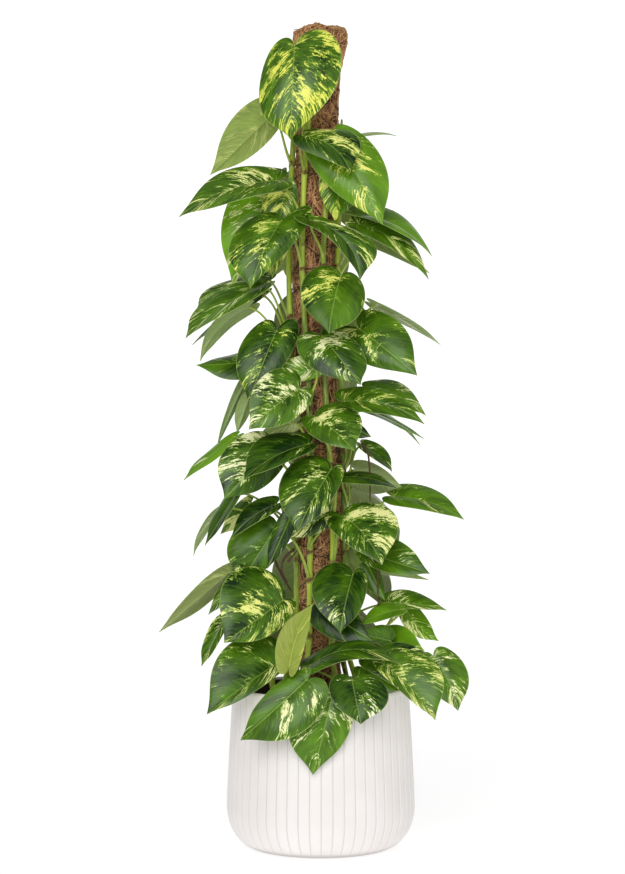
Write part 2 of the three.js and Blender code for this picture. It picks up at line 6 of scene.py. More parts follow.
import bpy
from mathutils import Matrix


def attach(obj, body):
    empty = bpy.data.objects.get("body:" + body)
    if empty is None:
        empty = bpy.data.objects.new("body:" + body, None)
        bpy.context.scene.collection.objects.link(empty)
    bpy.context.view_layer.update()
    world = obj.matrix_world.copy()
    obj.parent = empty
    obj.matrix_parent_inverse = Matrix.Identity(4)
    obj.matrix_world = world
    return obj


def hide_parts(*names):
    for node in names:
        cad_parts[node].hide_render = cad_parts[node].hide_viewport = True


bl_info = {
    "name": "Potted golden pothos",
    "version": (1, 0, 0),
    "blender": (4, 5, 0),
    "location": "3D View > Sidebar > Pothos",
    "description": "Builds the leaves, stems, coir pole, soil and pleated pot over the packed frame",
    "category": "Object",
}

import math

import bpy
import numpy as np
from bpy.props import FloatProperty, IntProperty, PointerProperty, StringProperty
from mathutils import Vector

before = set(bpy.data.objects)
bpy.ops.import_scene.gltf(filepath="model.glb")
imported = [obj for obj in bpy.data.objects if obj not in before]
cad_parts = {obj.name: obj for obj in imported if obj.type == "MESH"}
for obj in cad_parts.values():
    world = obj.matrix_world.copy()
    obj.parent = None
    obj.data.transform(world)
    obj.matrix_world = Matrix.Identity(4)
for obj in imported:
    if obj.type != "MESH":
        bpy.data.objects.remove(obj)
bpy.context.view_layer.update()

MM = 0.001

# Pot, soil and pole, in millimetres, as the part has them
POT_HEIGHT = 238
POT_RIM_RADIUS = 132
POT_BELLY_RADIUS = 141
POT_BASE_RADIUS = 98
POT_WALL = 5
POT_FLOOR = 7
BELLY_HEIGHT = 62
RIM_BAND = 7
BASE_BAND = 7
FOOT_ROUNDING = 1.5
FLOOR_RADIUS = POT_BASE_RADIUS - 12
WALL_TAPER = 1.15
SOIL_TOP = 213
SOIL_MOUND = 5
SOIL_RADIUS = 126
SOIL_CLEARANCE = 0.6
PLANTING_DEPTH = 60
POLE_BOTTOM = 70
POLE_TOP = 1222
POLE_RADIUS = 30
POLE_FLARE = 6.5
POLE_BEND = -11.5
POLE_BEND_HEIGHT = 860
POLE_BEND_SPREAD = 230
CORE_INSET = 1.2
CLIMB_RADIUS = POLE_RADIUS + 7.3
JOIN_POLE_AT = 310

# Heights of the rings of the pot's wall, up the outside and down the inside
OUTSIDE_HEIGHTS = [
    2, BASE_BAND - 0.8, BASE_BAND + 0.4, 10, 14, 19, 25, 32, 40, 50, 60, 80, 100, 120, 140, 160, 180,
    200, 214, 224, POT_HEIGHT - RIM_BAND - 1.5, POT_HEIGHT - RIM_BAND, POT_HEIGHT - 4]
INSIDE_HEIGHTS = [POT_HEIGHT - 5, 215, 170, 110, 60, 30, 16]

# Where the wall has points within one pleat, half the groove's width and the facet's slope, as shares
PLEAT_STEPS = np.array([0, 0.03, 0.06, 0.1, 0.22, 0.4, 0.6, 0.8, 0.9, 0.94, 0.97])
GROOVE_HALF = 0.09
FACET_SLOPE = 0.42

# How dark the painted shade over the pot's foot and at its edge is, and up to what height
PAINTED_FOOT_SHADE = 0.9
PAINTED_FOOT_SHADE_TOP = 16
PAINTED_EDGE_SHADE = 0.85
PAINTED_EDGE_SHADE_TOP = 11

# Lengths at the pole's top that are paler and that have frayed
PALE_TOP_LENGTH = 90
FRAY_LENGTH = 60

# Blade outline: the lobes' ribs leave the base, and the others leave the midrib
BASE_ANGLE = math.radians(100)
WIDEST = 0.645
BLADE_PUFF = 0.07

# Sides round a stem, a petiole and a root, and the step between a stem's rings
STEM_SIDES = 12
PETIOLE_SIDES = 10
ROOT_SIDES = 6
STEM_STEP = 7

# The front leaves are set out as they are seen by an eye this far in front, at this height
EYE_ACROSS = -12.4
EYE_DISTANCE = 3000
EYE_HEIGHT = 611

# Front leaves: label, height on the stem where the petiole leaves, base, tip, midrib bow, side a,
# side b, and "under" where the underside faces the front. Base and tip are across, height and
# depth as seen from the front; bow and sides are across and depth, square to the blade's axis, and
# a third number slants a side towards the tip.
LEFT_LEAVES = [
    ("L2", 1020, [-76, 1092, -22], [-166, 1004, -48], [0, 0], [34, -20, -8], [23, 15], "under"),
    ("L4", 905, [-61, 982, -24], [-133, 836, -30], [0, -4], [62, 4], [16, 0]),
    ("L20a", 790, [-85, 852, -12], [-188, 799, -26], [6, 0], [18, 22, 30], [14, -16]),
    ("L20b", 765, [-88, 839, -46], [-203, 759, -88], [8, 0], [25, 16, 26], [15, -30, 4]),
    ("L20c", 750, [-90, 825, -10], [-193, 749, -30], [4, 0], [8, 20], [8, -20]),
    ("L21", 720, [-109, 806, -38], [-181, 724, -60], [12, 0], [11, -18, 8], [12, 20], "under"),
    ("L19", 660, [-88, 731, -28], [-187, 719, -45], [-4, 0], [16, 30], [27, -15]),
    ("Q1", 630, [-111, 698, -24], [-156, 596, -28], [2, 0], [8, -10], [6, 14], "under"),
    ("Q2", 610, [-108, 670, -24], [-126, 616, -24], [0, 0], [13, -4], [8, 12], "under"),
    ("P1", 545, [-129, 611, -38], [-206, 546, -66], [2, 0], [9, 12, 10], [9, -12]),
    ("P4", 455, [-127, 527, -66], [-174, 448, -90], [0, 0], [13, 18], [8, -16]),
    ("P5", 430, [-144, 505, -34], [-191, 433, -46], [8, 0], [7, -12], [7, 10], "under"),
    ("P6b", 470, [-105, 512, -12], [-151, 465, -18], [0, 0], [14, 4], [16, -2]),
    ("O1", 340, [-139, 406, -42], [-243, 318, -88], [0, 0], [16, -10], [15, 34], "under"),
]
FRONT_LEFT_LEAVES = [
    ("L1", 1045, [-39.5, 1198, -56], [-45.5, 1057, -88], [0, -12], [50, 8, 28], [71, 8, -14]),
    ("L3", 930, [-68, 995, -52], [-213, 941, -86], [12, 0], [31, 24], [25, -35]),
    ("L4b", 900, [-55, 978, -41], [-73, 848, -46], [0, 0], [30, 0], [24, 0]),
    ("L5", 860, [-59, 935, -58], [-106, 834, -98], [4, -8], [52, 8, 22], [40, 12, -40]),
    ("L18", 738, [-67, 769, -45], [-109, 665, -76], [0, -8], [41, 8, 8], [34, 4, -22]),
    ("L17", 655, [-8, 712, -47], [-79, 700, -46], [0, 0], [24, 2], [14, 2]),
    ("L22", 610, [-33, 683, -70], [-108, 622, -104], [2, -6], [46, 4], [32, -5]),
    ("Q3", 560, [-37, 632, -43], [-95, 612, -44], [0, 0], [14, 0], [12, 0], "under"),
    ("P2", 520, [-73, 596, -56], [-145, 518, -90], [0, -6], [49, 6, 14], [34, 4]),
    ("P3", 598, [-19, 600, -72], [-116, 546, -128], [8, 0], [34, 20, 16], [14, -22, 8]),
    ("P6", 500, [-69, 509, -58], [-136, 456, -82], [6, 0], [18, 12], [10, -20]),
    ("P7", 400, [-67, 476, -42], [-121, 392, -50], [0, -6], [49, 6, 16], [26, 0]),
    ("P7b", 512, [-46, 490, -62], [-80, 413, -70], [0, 0], [16, 4], [12, 6]),
    ("P9", 440, [11, 496, -44], [-51, 460, -46], [0, 0], [20, 0], [18, 0]),
    ("L6", 1005, [-27, 1063, -74], [45, 1008, -100], [-13, 0], [22, -15, 12], [39, 25, 24]),
    ("O7", 315, [-47, 266, -147], [-11, 362, -118], [-6, -6], [15, 6, 4], [25, 8], "under"),
]
FRONT_RIGHT_LEAVES = [
    ("L12", 865, [-15, 936, -64], [59, 846, -98], [-20, 0], [18, -18, -8], [34, 8, 34]),
    ("L13", 775, [30, 852, -62], [12, 766, -112], [2, -6], [52, 8, 2], [43, 10, 8]),
    ("L16", 738, [2.5, 762, -62], [60, 689, -96], [0, -4], [44, 0, -16], [34, 10, 20]),
    ("M1", 570, [-5, 641, -64], [50, 590, -112], [-2, -4], [27, -4, -10], [43, 8, 14]),
    ("P8", 490, [15, 562, -72], [-36, 467, -122], [2, -8], [56, 12, 12], [24, -6]),
    ("M7", 425, [36, 492, -62], [92, 419, -118], [-6, -4], [31, -6, -16], [54, 18, 14]),
    ("N1", 335, [48, 404, -72], [29, 316, -125], [2, -8], [54, 6], [26, 0]),
    ("N2", 300, [-4, 358, -62], [77, 305, -95], [0, -4], [30, -8], [26, 10]),
    ("N8", 240, [-15, 269, -92], [120, 270, -128], [-22, 0], [14, -24], [14, 20]),
    ("N13", 228, [47, 246, -134], [60, 180, -168], [0, -6], [35, -8, -8], [47, 6, 10]),
    ("O9", 222, [17, 221, -138], [-12, 104, -148], [0, -6], [51, 6, 12], [37, 6, -8]),
]
RIGHT_LEAVES = [
    ("L7", 985, [21, 1057, -54], [93, 929, -92], [-2, -6], [50, 8, -24], [46, 14, 6]),
    ("L8", 1000, [52, 1061, 4], [113, 1063, 10], [-4, 0], [3, -30], [3, 32]),
    ("L9", 950, [33, 1019, -45], [21, 935, -50], [0, 0], [32, 0], [32, 12]),
    ("L10", 900, [54, 946, -24], [167, 882, -62], [-14, 0], [10, -26], [20, 30]),
    ("L11", 865, [58, 930, -36], [162, 847, -72], [-14, 0], [15, -10], [22, 26]),
    ("L11b", 850, [78, 905, 4], [164, 856, -26], [-4, 0], [12, -20], [10, 18], "under"),
    ("L14", 705, [59, 773, -40], [145, 703, -82], [0, -6], [41, 8, -24], [45, 14]),
    ("L15", 725, [82, 808, -12], [180, 749, -25], [-4, 0], [5, 25], [5, -25], "under"),
    ("R1a", 625, [71, 682, -2], [158, 643, -22], [-8, 0], [16, -16], [22, 25, 4]),
    ("R1b", 600, [36, 664, -46], [156, 630, -66], [-12, 0], [16, -18], [24, 18]),
    ("R1c", 592, [52, 658, 20], [155, 608, 4], [-4, 0], [6, -18], [6, 18]),
    ("R1d", 560, [64, 655, 40], [149, 599, 26], [-9, 0], [4, -15], [5, 15]),
    ("M2", 570, [40, 628, -28], [76, 611, -34], [0, 0], [12, -4], [10, 4]),
    ("M3", 535, [62, 600, -16], [107, 559, -42], [-3, 0], [8, -20], [15, 12, 8]),
    ("M4", 480, [52, 562, -14], [122, 536, -30], [0, 0], [28, 20], [18, -14], "under"),
    ("M5", 500, [35, 551, -42], [116, 533, -62], [-6, 0], [9, -22], [9, 22]),
    ("M6", 440, [109, 522, -18], [215, 487, -55], [-8, 0], [14, -24], [23, 24, 6]),
    ("M8", 370, [68, 438, -45], [164, 406, -85], [0, -4], [18, -10], [33, 14]),
    ("M8b", 350, [69, 412, -15], [162, 397, -40], [0, 0], [5, 20], [12, -14], "under"),
    ("M9", 380, [44, 455, 8], [60, 408, 2], [0, 0], [12, 0], [14, 0], "under"),
    ("N3b", 340, [71, 418, -50], [96, 366, -64], [0, 0], [16, 0], [12, 8]),
    ("N5", 330, [98, 362, -30], [189, 351, -70], [-4, 0], [8, -8], [17, 22]),
]
LOW_RIGHT_LEAVES = [
    ("N4", 318, [120, 352, -62], [60, 328, -79], [4, 0], [13, 14, 4], [8, -12]),
    ("N6", 302, [126, 354, -12], [177, 305, -50], [5, 0], [16, -10], [18, 10]),
    ("N7", 288, [98, 304, -26], [156, 290, -70], [0, -4], [18, -10], [28, 10]),
    ("N7a", 276, [104, 305, -60], [60, 315, -82], [0, 0], [20, 10], [8, -6]),
    ("N9", 248, [93, 284, -66], [159, 287, -98], [-2, 0], [14, -10], [16, 0]),
    ("N10", 230, [95, 269, -98], [172, 186, -142], [-6, -4], [14, -8], [51, 8, 14]),
    ("N11", 262, [170, 281, -52], [206, 200, -78], [-4, 0], [28, -8], [34, 12, 6]),
    ("N12", 220, [62, 266, -76], [122, 230, -100], [0, 0], [20, -8], [22, 10]),
]
LOW_LEFT_LEAVES = [
    ("O2", 320, [-121, 408, -66], [-169, 344, -92], [0, 0], [12, 12], [14, -6]),
    ("O3", 300, [-57, 366, -80], [-145, 302, -128], [0, -8], [76, 14, 8], [30, -4]),
    ("O5", 280, [-145, 336, -42], [-179, 267, -62], [0, 0], [15, 8, 6], [8, -10]),
    ("O6", 260, [-63, 273, -85], [-171, 195, -128], [2, -8], [61, 18, 4], [15, -10]),
    ("O8", 224, [-22, 246, -141], [-121, 156, -152], [0, -8], [24, 8, 8], [50, -16]),
]

# Back leaves: tiers up the stems, how the leaves grow, and their bearings tier by tier
LOWEST_TIER = 352
TIER_STEP = 94
BACK_LENGTH = 120
BACK_DROOP = 54
BACK_RIGHT_BEARINGS = [50, 42, 36, 78, 84, 56, 84, 50]
BACK_BEARINGS = [91, 91, 96, 91, 79, 84, 91, 91, 91]
BACK_LEFT_BEARINGS = [133, 109, 97, 133, 133, 99, 137, 133]

# The short stems' routes, from their feet in the soil up
LOW_RIGHT_ROUTE = [[72, -48, 153], [73, -50, 215], [80, -50, 270], [86, -44, 330]]
LOW_LEFT_ROUTE = [[-66, -58, 153], [-68, -62, 215], [-74, -62, 270], [-78, -54, 340]]

# The height at which a stem is brightest, by its bearing, and how fast it dulls away from there
BRIGHTEST = {-162: 900, -112: 1010, -66: 410, -14: 880, -40: 270, -140: 270}
BACK_BRIGHTEST = 600
BRIGHT_SPREAD = 110

# How each front leaf is coloured: tone from dark blue-green 0 to bright yellow-green 1, share of
# marbling from none 0 to mostly marbled 1, and warmth from cream 0 to yellow 1. Two more numbers
# say where the marbling gathers: share of the way to the tip, and across from -1 to 1.
LOOKS = {
    "L1": (0.42, 0.48, 1.0), "L2": (0.7, 0.4, 0.6), "L3": (0.4, 0.43, 0.6, 0.55, 0.2),
    "L4": (1.0, 0.48, 0.4), "L4b": (0.45, 0.5, 0.9), "L5": (0.4, 0.4, 0.85, 0.75, 0.5),
    "L6": (0.3, 0.42, 0.8, 0.5, -0.5), "L7": (0.72, 0.36, 0.9, 0.65, 0), "L8": (0.7, 0.1, 0.5),
    "L9": (0.5, 0.45, 1.0), "L10": (0.72, 0.16, 0.8), "L11": (0.42, 0.38, 0.6),
    "L11b": (0.9, 0.5, 0.4), "L12": (0.36, 0.32, 0.7, 0.45, -0.6), "L13": (0.4, 0.36, 0.9, 0.4, 0.4),
    "L14": (0.42, 0.3, 0.7, 0.4, 0.2), "L15": (0.9, 0.5, 0.1), "L16": (0.36, 0.44, 0.35, 0.45, -0.4),
    "L17": (0.8, 0.42, 0.4), "L18": (0.26, 0.3, 0.9, 0.7, 0), "L19": (0.35, 0.22, 0.8),
    "L20a": (0.3, 0.45, 0.5), "L20b": (0.45, 0.3, 0.4), "L20c": (0.4, 0.25, 0.4),
    "L21": (0.75, 0.25, 0.2), "L22": (0.4, 0.5, 0.35), "M1": (0.42, 0.54, 0.6, 0.4, 0.2),
    "M2": (0.2, 0.05, 0.3), "M3": (0.35, 0.3, 0.2), "M4": (0.35, 0.15, 0.3), "M5": (0.25, 0.14, 0.3),
    "M6": (0.55, 0.38, 0.7, 0.1, 0), "M7": (0.36, 0.47, 0.6, 0.45, -0.5),
    "M8": (0.42, 0.16, 0.3, 0.8, -0.4), "M8b": (0.85, 0.2, 0.4), "M9": (0.8, 0.1, 0.3),
    "N1": (0.26, 0.16, 0.4, 0.85, 0.2),
    "N2": (0.22, 0.02, 0.3), "N3b": (0.25, 0.05, 0.3), "N4": (0.66, 0.1, 0.5), "N5": (0.5, 0.42, 0.4),
    "N6": (0.65, 0.4, 0.5), "N7": (0.9, 0.25, 0.5), "N7a": (0.4, 0.05, 0.7), "N8": (0.34, 0.2, 0.7),
    "N9": (0.3, 0.05, 0.5), "N10": (0.42, 0.48, 0.7), "N11": (0.44, 0.45, 0.4), "N12": (0.5, 0.2, 0.5),
    "N13": (0.25, 0.22, 0.1), "O1": (0.2, 0.15, 0.5), "O2": (0.36, 0.42, 0.4),
    "O3": (0.34, 0.4, 0.8), "O5": (0.4, 0.4, 0.6), "O6": (0.4, 0.38, 0.6, 0.5, -0.5),
    "O7": (0.2, 0.12, 0.95), "O8": (0.48, 0.31, 0.45, 0.45, -0.6), "O9": (0.5, 0.55, 0.35, 0.35, -0.6),
    "P1": (0.85, 0.2, 0.2), "P2": (0.34, 0.5, 0.35, 0.35, 0.6), "P3": (0.2, 0.08, 0.5),
    "P4": (0.3, 0.06, 0.2), "P5": (0.8, 0.32, 0.1), "P6": (0.25, 0.1, 0.3), "P6b": (0.4, 0.5, 0.6),
    "P7": (0.42, 0.1, 0.4), "P7b": (0.2, 0.1, 0.3), "P8": (0.34, 0.32, 0.6, 0.6, 0.4),
    "P9": (0.25, 0.5, 0.6), "Q1": (0.8, 0.22, 0.1), "Q2": (0.7, 0.1, 0.2), "Q3": (0.7, 0.5, 0.4),
    "R1a": (0.64, 0.42, 0.4), "R1b": (0.42, 0.36, 0.8, 0.55, 0), "R1c": (0.7, 0.3, 0.2),
    "R1d": (0.6, 0.2, 0.3),
}

# Aerial roots that hang free, as seen from the front, and how much thicker they are than the
# roots that clasp the pole
HANGING_THICKER = 2.2
HANGING_ROOTS = [
    [(62, 602, -38), (68, 594, -42), (72, 584, -44), (74, 550, -43), (74, 513, -42)],
    [(80, 432, -58), (84, 419, -62), (86, 388, -62), (86, 359, -60)],
    [(-40, 443, -44), (-54, 431, -48), (-59, 420, -50), (-59, 408, -48), (-50, 393, -38)],
    [(-72, 432, -42), (-63, 413, -40), (-57, 400, -34), (-44, 380, -20)],
    [(-49, 424, -58), (-42, 432, -54), (-36, 440, -48)],
]

# Seeds of what is strewn, laid and grown at random
CRUMB_SEED = 7
FIBRE_SEED = 11
ROOT_SEED = 23

# Stage: reach of the floor each way, radius of its sweep up, and where the two lights come from
# with their width in degrees
FLOOR_REACH = 6000
SWEEP_RADIUS = 1000
KEY_FROM = (-0.16, -0.93, 0.5)
KEY_WIDTH = 40
FILL_FROM = (0.75, -0.6, 0.3)
FILL_WIDTH = 60


class PotSettings(bpy.types.PropertyGroup):
    """The pot's pleats, lip and glaze."""

    pleats: IntProperty(name="Pleats", description="Pleats round the pot", default=52, min=8)
    pleat_depth: FloatProperty(
        name="Pleat depth", description="Depth of each groove between pleats",
        default=1.0 * MM, unit="LENGTH", precision=5)
    lip: FloatProperty(
        name="Lip rounding", description="Rounding of the pot's lip",
        default=1.6 * MM, unit="LENGTH", precision=5)
    glaze: StringProperty(name="Glaze", description="The glaze's colour, sRGB hex", default="#F1EDEB")


class SoilSettings(bpy.types.PropertyGroup):
    """The soil's crumbs and colour."""

    crumb: FloatProperty(
        name="Crumb size", description="Size of the largest crumbs of soil",
        default=5 * MM, unit="LENGTH", precision=5)
    crumb_density: FloatProperty(
        name="Crumbs per square metre", description="How thickly crumbs lie on the soil", default=30000)
    colour: StringProperty(name="Soil", description="The damp soil's colour, sRGB hex", default="#2E211A")


class PoleSettings(bpy.types.PropertyGroup):
    """The coir pole's fibres and colours."""

    fibre_length: FloatProperty(
        name="Fibre length", description="Length of a coir fibre",
        default=52 * MM, unit="LENGTH", precision=5)
    fibre_width: FloatProperty(
        name="Fibre width", description="Thickness of a coir fibre",
        default=0.85 * MM, unit="LENGTH", precision=5)
    fibre_density: FloatProperty(
        name="Fibres per square metre", description="How thickly fibres cover the pole", default=34000)
    dark: StringProperty(name="Dark coir", description="Darkest fibre, sRGB hex", default="#47230D")
    light: StringProperty(name="Light coir", description="Lightest fibre, sRGB hex", default="#F0B981")


class LeafSettings(bpy.types.PropertyGroup):
    """The blades' form and colours."""

    thickness: FloatProperty(
        name="Blade thickness", description="Thickness of a blade",
        default=0.8 * MM, unit="LENGTH", precision=5)
    vein_pairs: IntProperty(name="Vein pairs", description="Lateral veins on each half", default=8)
    quilting: FloatProperty(
        name="Quilting", description="Rise between lateral veins, as a share of length", default=0.0042)
    waviness: FloatProperty(
        name="Waviness", description="Wave of the margin, as a share of length", default=0.014)
    dark: StringProperty(name="Dark green", description="Darkest blade, sRGB hex", default="#0F2E04")
    bright: StringProperty(name="Bright green", description="Brightest blade, sRGB hex", default="#7CB41E")
    cream: StringProperty(name="Cream", description="Cream marbling, sRGB hex", default="#FEFEE2")
    yellow: StringProperty(name="Yellow", description="Yellow marbling, sRGB hex", default="#F2F268")
    under: StringProperty(
        name="Underside", description="Veil over the underside, sRGB hex", default="#B3C194")


class StemSettings(bpy.types.PropertyGroup):
    """Stems, petioles and aerial roots."""

    stem_radius: FloatProperty(
        name="Stem radius", description="Radius of a climbing stem",
        default=4.3 * MM, unit="LENGTH", precision=5)
    petiole_radius: FloatProperty(
        name="Petiole radius", description="Radius of a petiole at its middle",
        default=1.75 * MM, unit="LENGTH", precision=5)
    root_radius: FloatProperty(
        name="Aerial root radius", description="Radius of an aerial root",
        default=0.9 * MM, unit="LENGTH", precision=5)
    green: StringProperty(name="Stem green", description="Young stem, sRGB hex", default="#B8D23E")
    bark: StringProperty(name="Scar brown", description="Node scars and roots, sRGB hex", default="#6A4A2B")


class StageSettings(bpy.types.PropertyGroup):
    """The camera's lens, the floor and the lights."""

    lens: FloatProperty(name="Lens", description="Focal length on a 36 mm film", default=82.38)
    floor: StringProperty(name="Floor", description="The floor's colour, sRGB hex", default="#A0A0A0")
    glow: FloatProperty(
        name="Floor glow", description="White light that the floor gives off", default=0.76)
    ambient: FloatProperty(
        name="Ambient", description="Strength of the light from all round", default=0.3)
    key: FloatProperty(
        name="Key light", description="Strength of the light from the front", default=1.46)
    fill: FloatProperty(
        name="Fill light", description="Strength of the light from the right", default=0.36)


def settings():
    """The sizes and colours that the scene holds."""
    return bpy.context.scene.pothos


def linear(hex_colour):
    """An sRGB hex colour as linear red, green, blue and alpha."""
    parts = [int(hex_colour[i:i + 2], 16) / 255 for i in (1, 3, 5)]
    return [c / 12.92 if c <= 0.04045 else ((c + 0.055) / 1.055) ** 2.4 for c in parts] + [1]


def add_node(tree, kind, inputs=(), **own):
    """Adds a node, sets its own settings, and sets or links its inputs by index or name."""
    made = tree.nodes.new(kind)
    for name, value in own.items():
        setattr(made, name, value)
    pairs = inputs.items() if isinstance(inputs, dict) else enumerate(inputs)
    for key, value in pairs:
        if isinstance(value, bpy.types.NodeSocket):
            tree.links.new(value, made.inputs[key])
        elif value is not None:
            made.inputs[key].default_value = value
    return made


def new_material(name):
    """An empty material and its tree."""
    material = bpy.data.materials.new(name)
    material.use_nodes = True
    material.node_tree.nodes.clear()
    return material, material.node_tree


def finish_material(tree, sockets):
    """Ends a material in one Principled surface."""
    surface = add_node(tree, "ShaderNodeBsdfPrincipled", sockets)
    add_node(tree, "ShaderNodeOutputMaterial", {"Surface": surface.outputs[0]})


def new_object(name, points, faces, materials, smooth=True):
    """A mesh object from points in millimetres."""
    mesh = bpy.data.meshes.new(name)
    mesh.from_pydata((np.asarray(points, float) * MM).tolist(), [], faces)
    mesh.validate()
    for material in materials:
        mesh.materials.append(material)
    mesh.polygons.foreach_set("use_smooth", [smooth] * len(mesh.polygons))
    made = bpy.data.objects.new(name, mesh)
    bpy.context.scene.collection.objects.link(made)
    return made


def add_attribute(mesh, name, values):
    """A number or a vector for each point of a mesh."""
    values = np.asarray(values, dtype=np.float32)
    kind, field = ("FLOAT_VECTOR", "vector") if values.ndim == 2 else ("FLOAT", "value")
    mesh.attributes.new(name, kind, "POINT").data.foreach_set(field, values.ravel())


def new_tree(name, inputs):
    """A geometry tree with a geometry in and out, and its named inputs."""
    tree = bpy.data.node_groups.new(name, "GeometryNodeTree")
    tree.interface.new_socket("Geometry", in_out="OUTPUT", socket_type="NodeSocketGeometry")
    tree.interface.new_socket("Geometry", in_out="INPUT", socket_type="NodeSocketGeometry")
    for label, kind in inputs.items():
        tree.interface.new_socket(label, in_out="INPUT", socket_type=kind)
    return tree, tree.nodes.new("NodeGroupInput").outputs


def end_tree(tree, geometry, material):
    """Ends a geometry tree in Realize Instances and Set Material."""
    real = add_node(tree, "GeometryNodeRealizeInstances", [geometry])
    dressed = add_node(tree, "GeometryNodeSetMaterial", {"Geometry": real.outputs[0], "Material": material})
    add_node(tree, "NodeGroupOutput", [dressed.outputs[0]])


def grow(piece, tree, values):
    """Runs a geometry tree on a piece and leaves a plain mesh."""
    modifier = piece.modifiers.new("grow", "NODES")
    modifier.node_group = tree
    for item in tree.interface.items_tree:
        if item.in_out == "INPUT" and item.name in values:
            modifier[item.identifier] = values[item.name]
    evaluated = piece.evaluated_get(bpy.context.evaluated_depsgraph_get())
    mesh = bpy.data.meshes.new_from_object(evaluated)
    piece.modifiers.clear()
    piece.data = mesh
    return piece


def between(low, high, value):
    """A smooth step from 0 at low to 1 at high."""
    t = np.clip((np.asarray(value, float) - low) / (high - low), 0, 1)
    return t * t * (3 - 2 * t)


def unit(vector):
    """The vector at length 1."""
    return vector / np.linalg.norm(vector)


# Pot


def pot_wall_radius(height):
    """The outside's radius: round below the belly, drawing in slowly above it."""
    below = np.maximum(0, 1 - height / BELLY_HEIGHT)
    lower = POT_BELLY_RADIUS - (POT_BELLY_RADIUS - POT_BASE_RADIUS) * (1 - np.sqrt(1 - below ** 2))
    above = np.maximum(0, (height - BELLY_HEIGHT) / (POT_HEIGHT - BELLY_HEIGHT))
    return lower - (POT_BELLY_RADIUS - POT_RIM_RADIUS) * above ** WALL_TAPER


def lathe(profile, angles):
    """Points and faces of a turned body. The profile runs up the outside and back down the inside
    to the axis, and both its ends lie on the axis."""
    profile = np.asarray(profile, float)
    count = len(angles)
    ring = np.stack([np.cos(angles), np.sin(angles)], 1)
    inner = profile[1:-1]
    points = np.concatenate([
        np.concatenate([radius * ring, np.full((count, 1), height)], 1) for radius, height in inner])
    points = np.vstack([points, [[0, 0, profile[0, 1]], [0, 0, profile[-1, 1]]]])
    bottom, top = len(points) - 2, len(points) - 1
    last = (len(inner) - 1) * count
    faces = []
    for k in range(count):
        after = (k + 1) % count
        faces.append((bottom, after, k))
        faces.append((last + k, last + after, top))
        for row in range(len(inner) - 1):
            low, high = row * count, (row + 1) * count
            faces.append((low + k, low + after, high + after, high + k))
    return points, faces


def pot_profile(lip):
    """The outside from the foot to the lip, then the inside down to the floor."""
    foot = [[0, 0], [POT_BASE_RADIUS - FOOT_ROUNDING, 0], [POT_BASE_RADIUS, 0.6]]
    outside = foot + [[float(pot_wall_radius(height)), height] for height in OUTSIDE_HEIGHTS]
    outer, inner = POT_RIM_RADIUS, POT_RIM_RADIUS - POT_WALL
    below, near = POT_HEIGHT - lip, POT_HEIGHT - 0.3 * lip
    lips = [[outer, below], [outer - 0.3 * lip, near], [outer - lip, POT_HEIGHT]]
    lips += [[inner + lip, POT_HEIGHT], [inner + 0.3 * lip, near], [inner, below]]
    inside = [[float(pot_wall_radius(height)) - POT_WALL, height] for height in INSIDE_HEIGHTS]
    return outside + lips + inside + [[FLOOR_RADIUS, POT_FLOOR], [0, POT_FLOOR]]


def pleats_tree():
    """Cuts a narrow groove and a slanting facet for each pleat between the two plain bands."""
    tree, given = new_tree("pot_pleats", {
        "Pleats": "NodeSocketInt", "Depth": "NodeSocketFloat", "Band Top": "NodeSocketFloat",
        "Band Foot": "NodeSocketFloat", "Material": "NodeSocketMaterial"})
    math_node = "ShaderNodeMath"
    place = add_node(tree, "GeometryNodeInputPosition").outputs[0]
    parts = add_node(tree, "ShaderNodeSeparateXYZ", [place]).outputs
    turn = add_node(tree, math_node, [parts[1], parts[0]], operation="ARCTAN2").outputs[0]
    share = add_node(tree, math_node, [turn, 2 * math.pi], operation="DIVIDE").outputs[0]
    counted = add_node(tree, math_node, [share, given["Pleats"]], operation="MULTIPLY").outputs[0]
    phase = add_node(tree, math_node, [counted], operation="FRACT").outputs[0]
    away = add_node(tree, math_node, [counted, 0.5], operation="PINGPONG").outputs[0]
    groove = add_node(tree, "ShaderNodeMapRange", [away, 0.0, GROOVE_HALF, 1.0, 0.0],
                      interpolation_type="SMOOTHSTEP").outputs[0]
    slope = add_node(tree, math_node, [phase, FACET_SLOPE], operation="MULTIPLY").outputs[0]
    deep = add_node(tree, math_node, [groove, slope], operation="MAXIMUM").outputs[0]
    foot = add_node(tree, math_node, [parts[2], given["Band Foot"]], operation="GREATER_THAN").outputs[0]
    top = add_node(tree, math_node, [parts[2], given["Band Top"]], operation="LESS_THAN").outputs[0]
    outer = add_node(tree, "GeometryNodeInputNamedAttribute", {"Name": "outer"}, data_type="FLOAT")
    banded = add_node(tree, math_node, [foot, top], operation="MULTIPLY").outputs[0]
    masked = add_node(tree, math_node, [banded, outer.outputs[0]], operation="MULTIPLY").outputs[0]
    cut = add_node(tree, math_node, [deep, masked], operation="MULTIPLY").outputs[0]
    inward = add_node(tree, math_node, [cut, given["Depth"]], operation="MULTIPLY").outputs[0]
    flat = add_node(tree, "ShaderNodeCombineXYZ", [parts[0], parts[1], 0.0]).outputs[0]
    towards = add_node(tree, "ShaderNodeVectorMath", [flat], operation="NORMALIZE").outputs[0]
    back = add_node(tree, math_node, [inward, -1.0], operation="MULTIPLY").outputs[0]
    offset = add_node(tree, "ShaderNodeVectorMath", {0: towards, "Scale": back}, operation="SCALE")
    moved = add_node(tree, "GeometryNodeSetPosition", {
        "Geometry": given["Geometry"], "Offset": offset.outputs[0]})
    end_tree(tree, moved.outputs[0], given["Material"])
    return tree


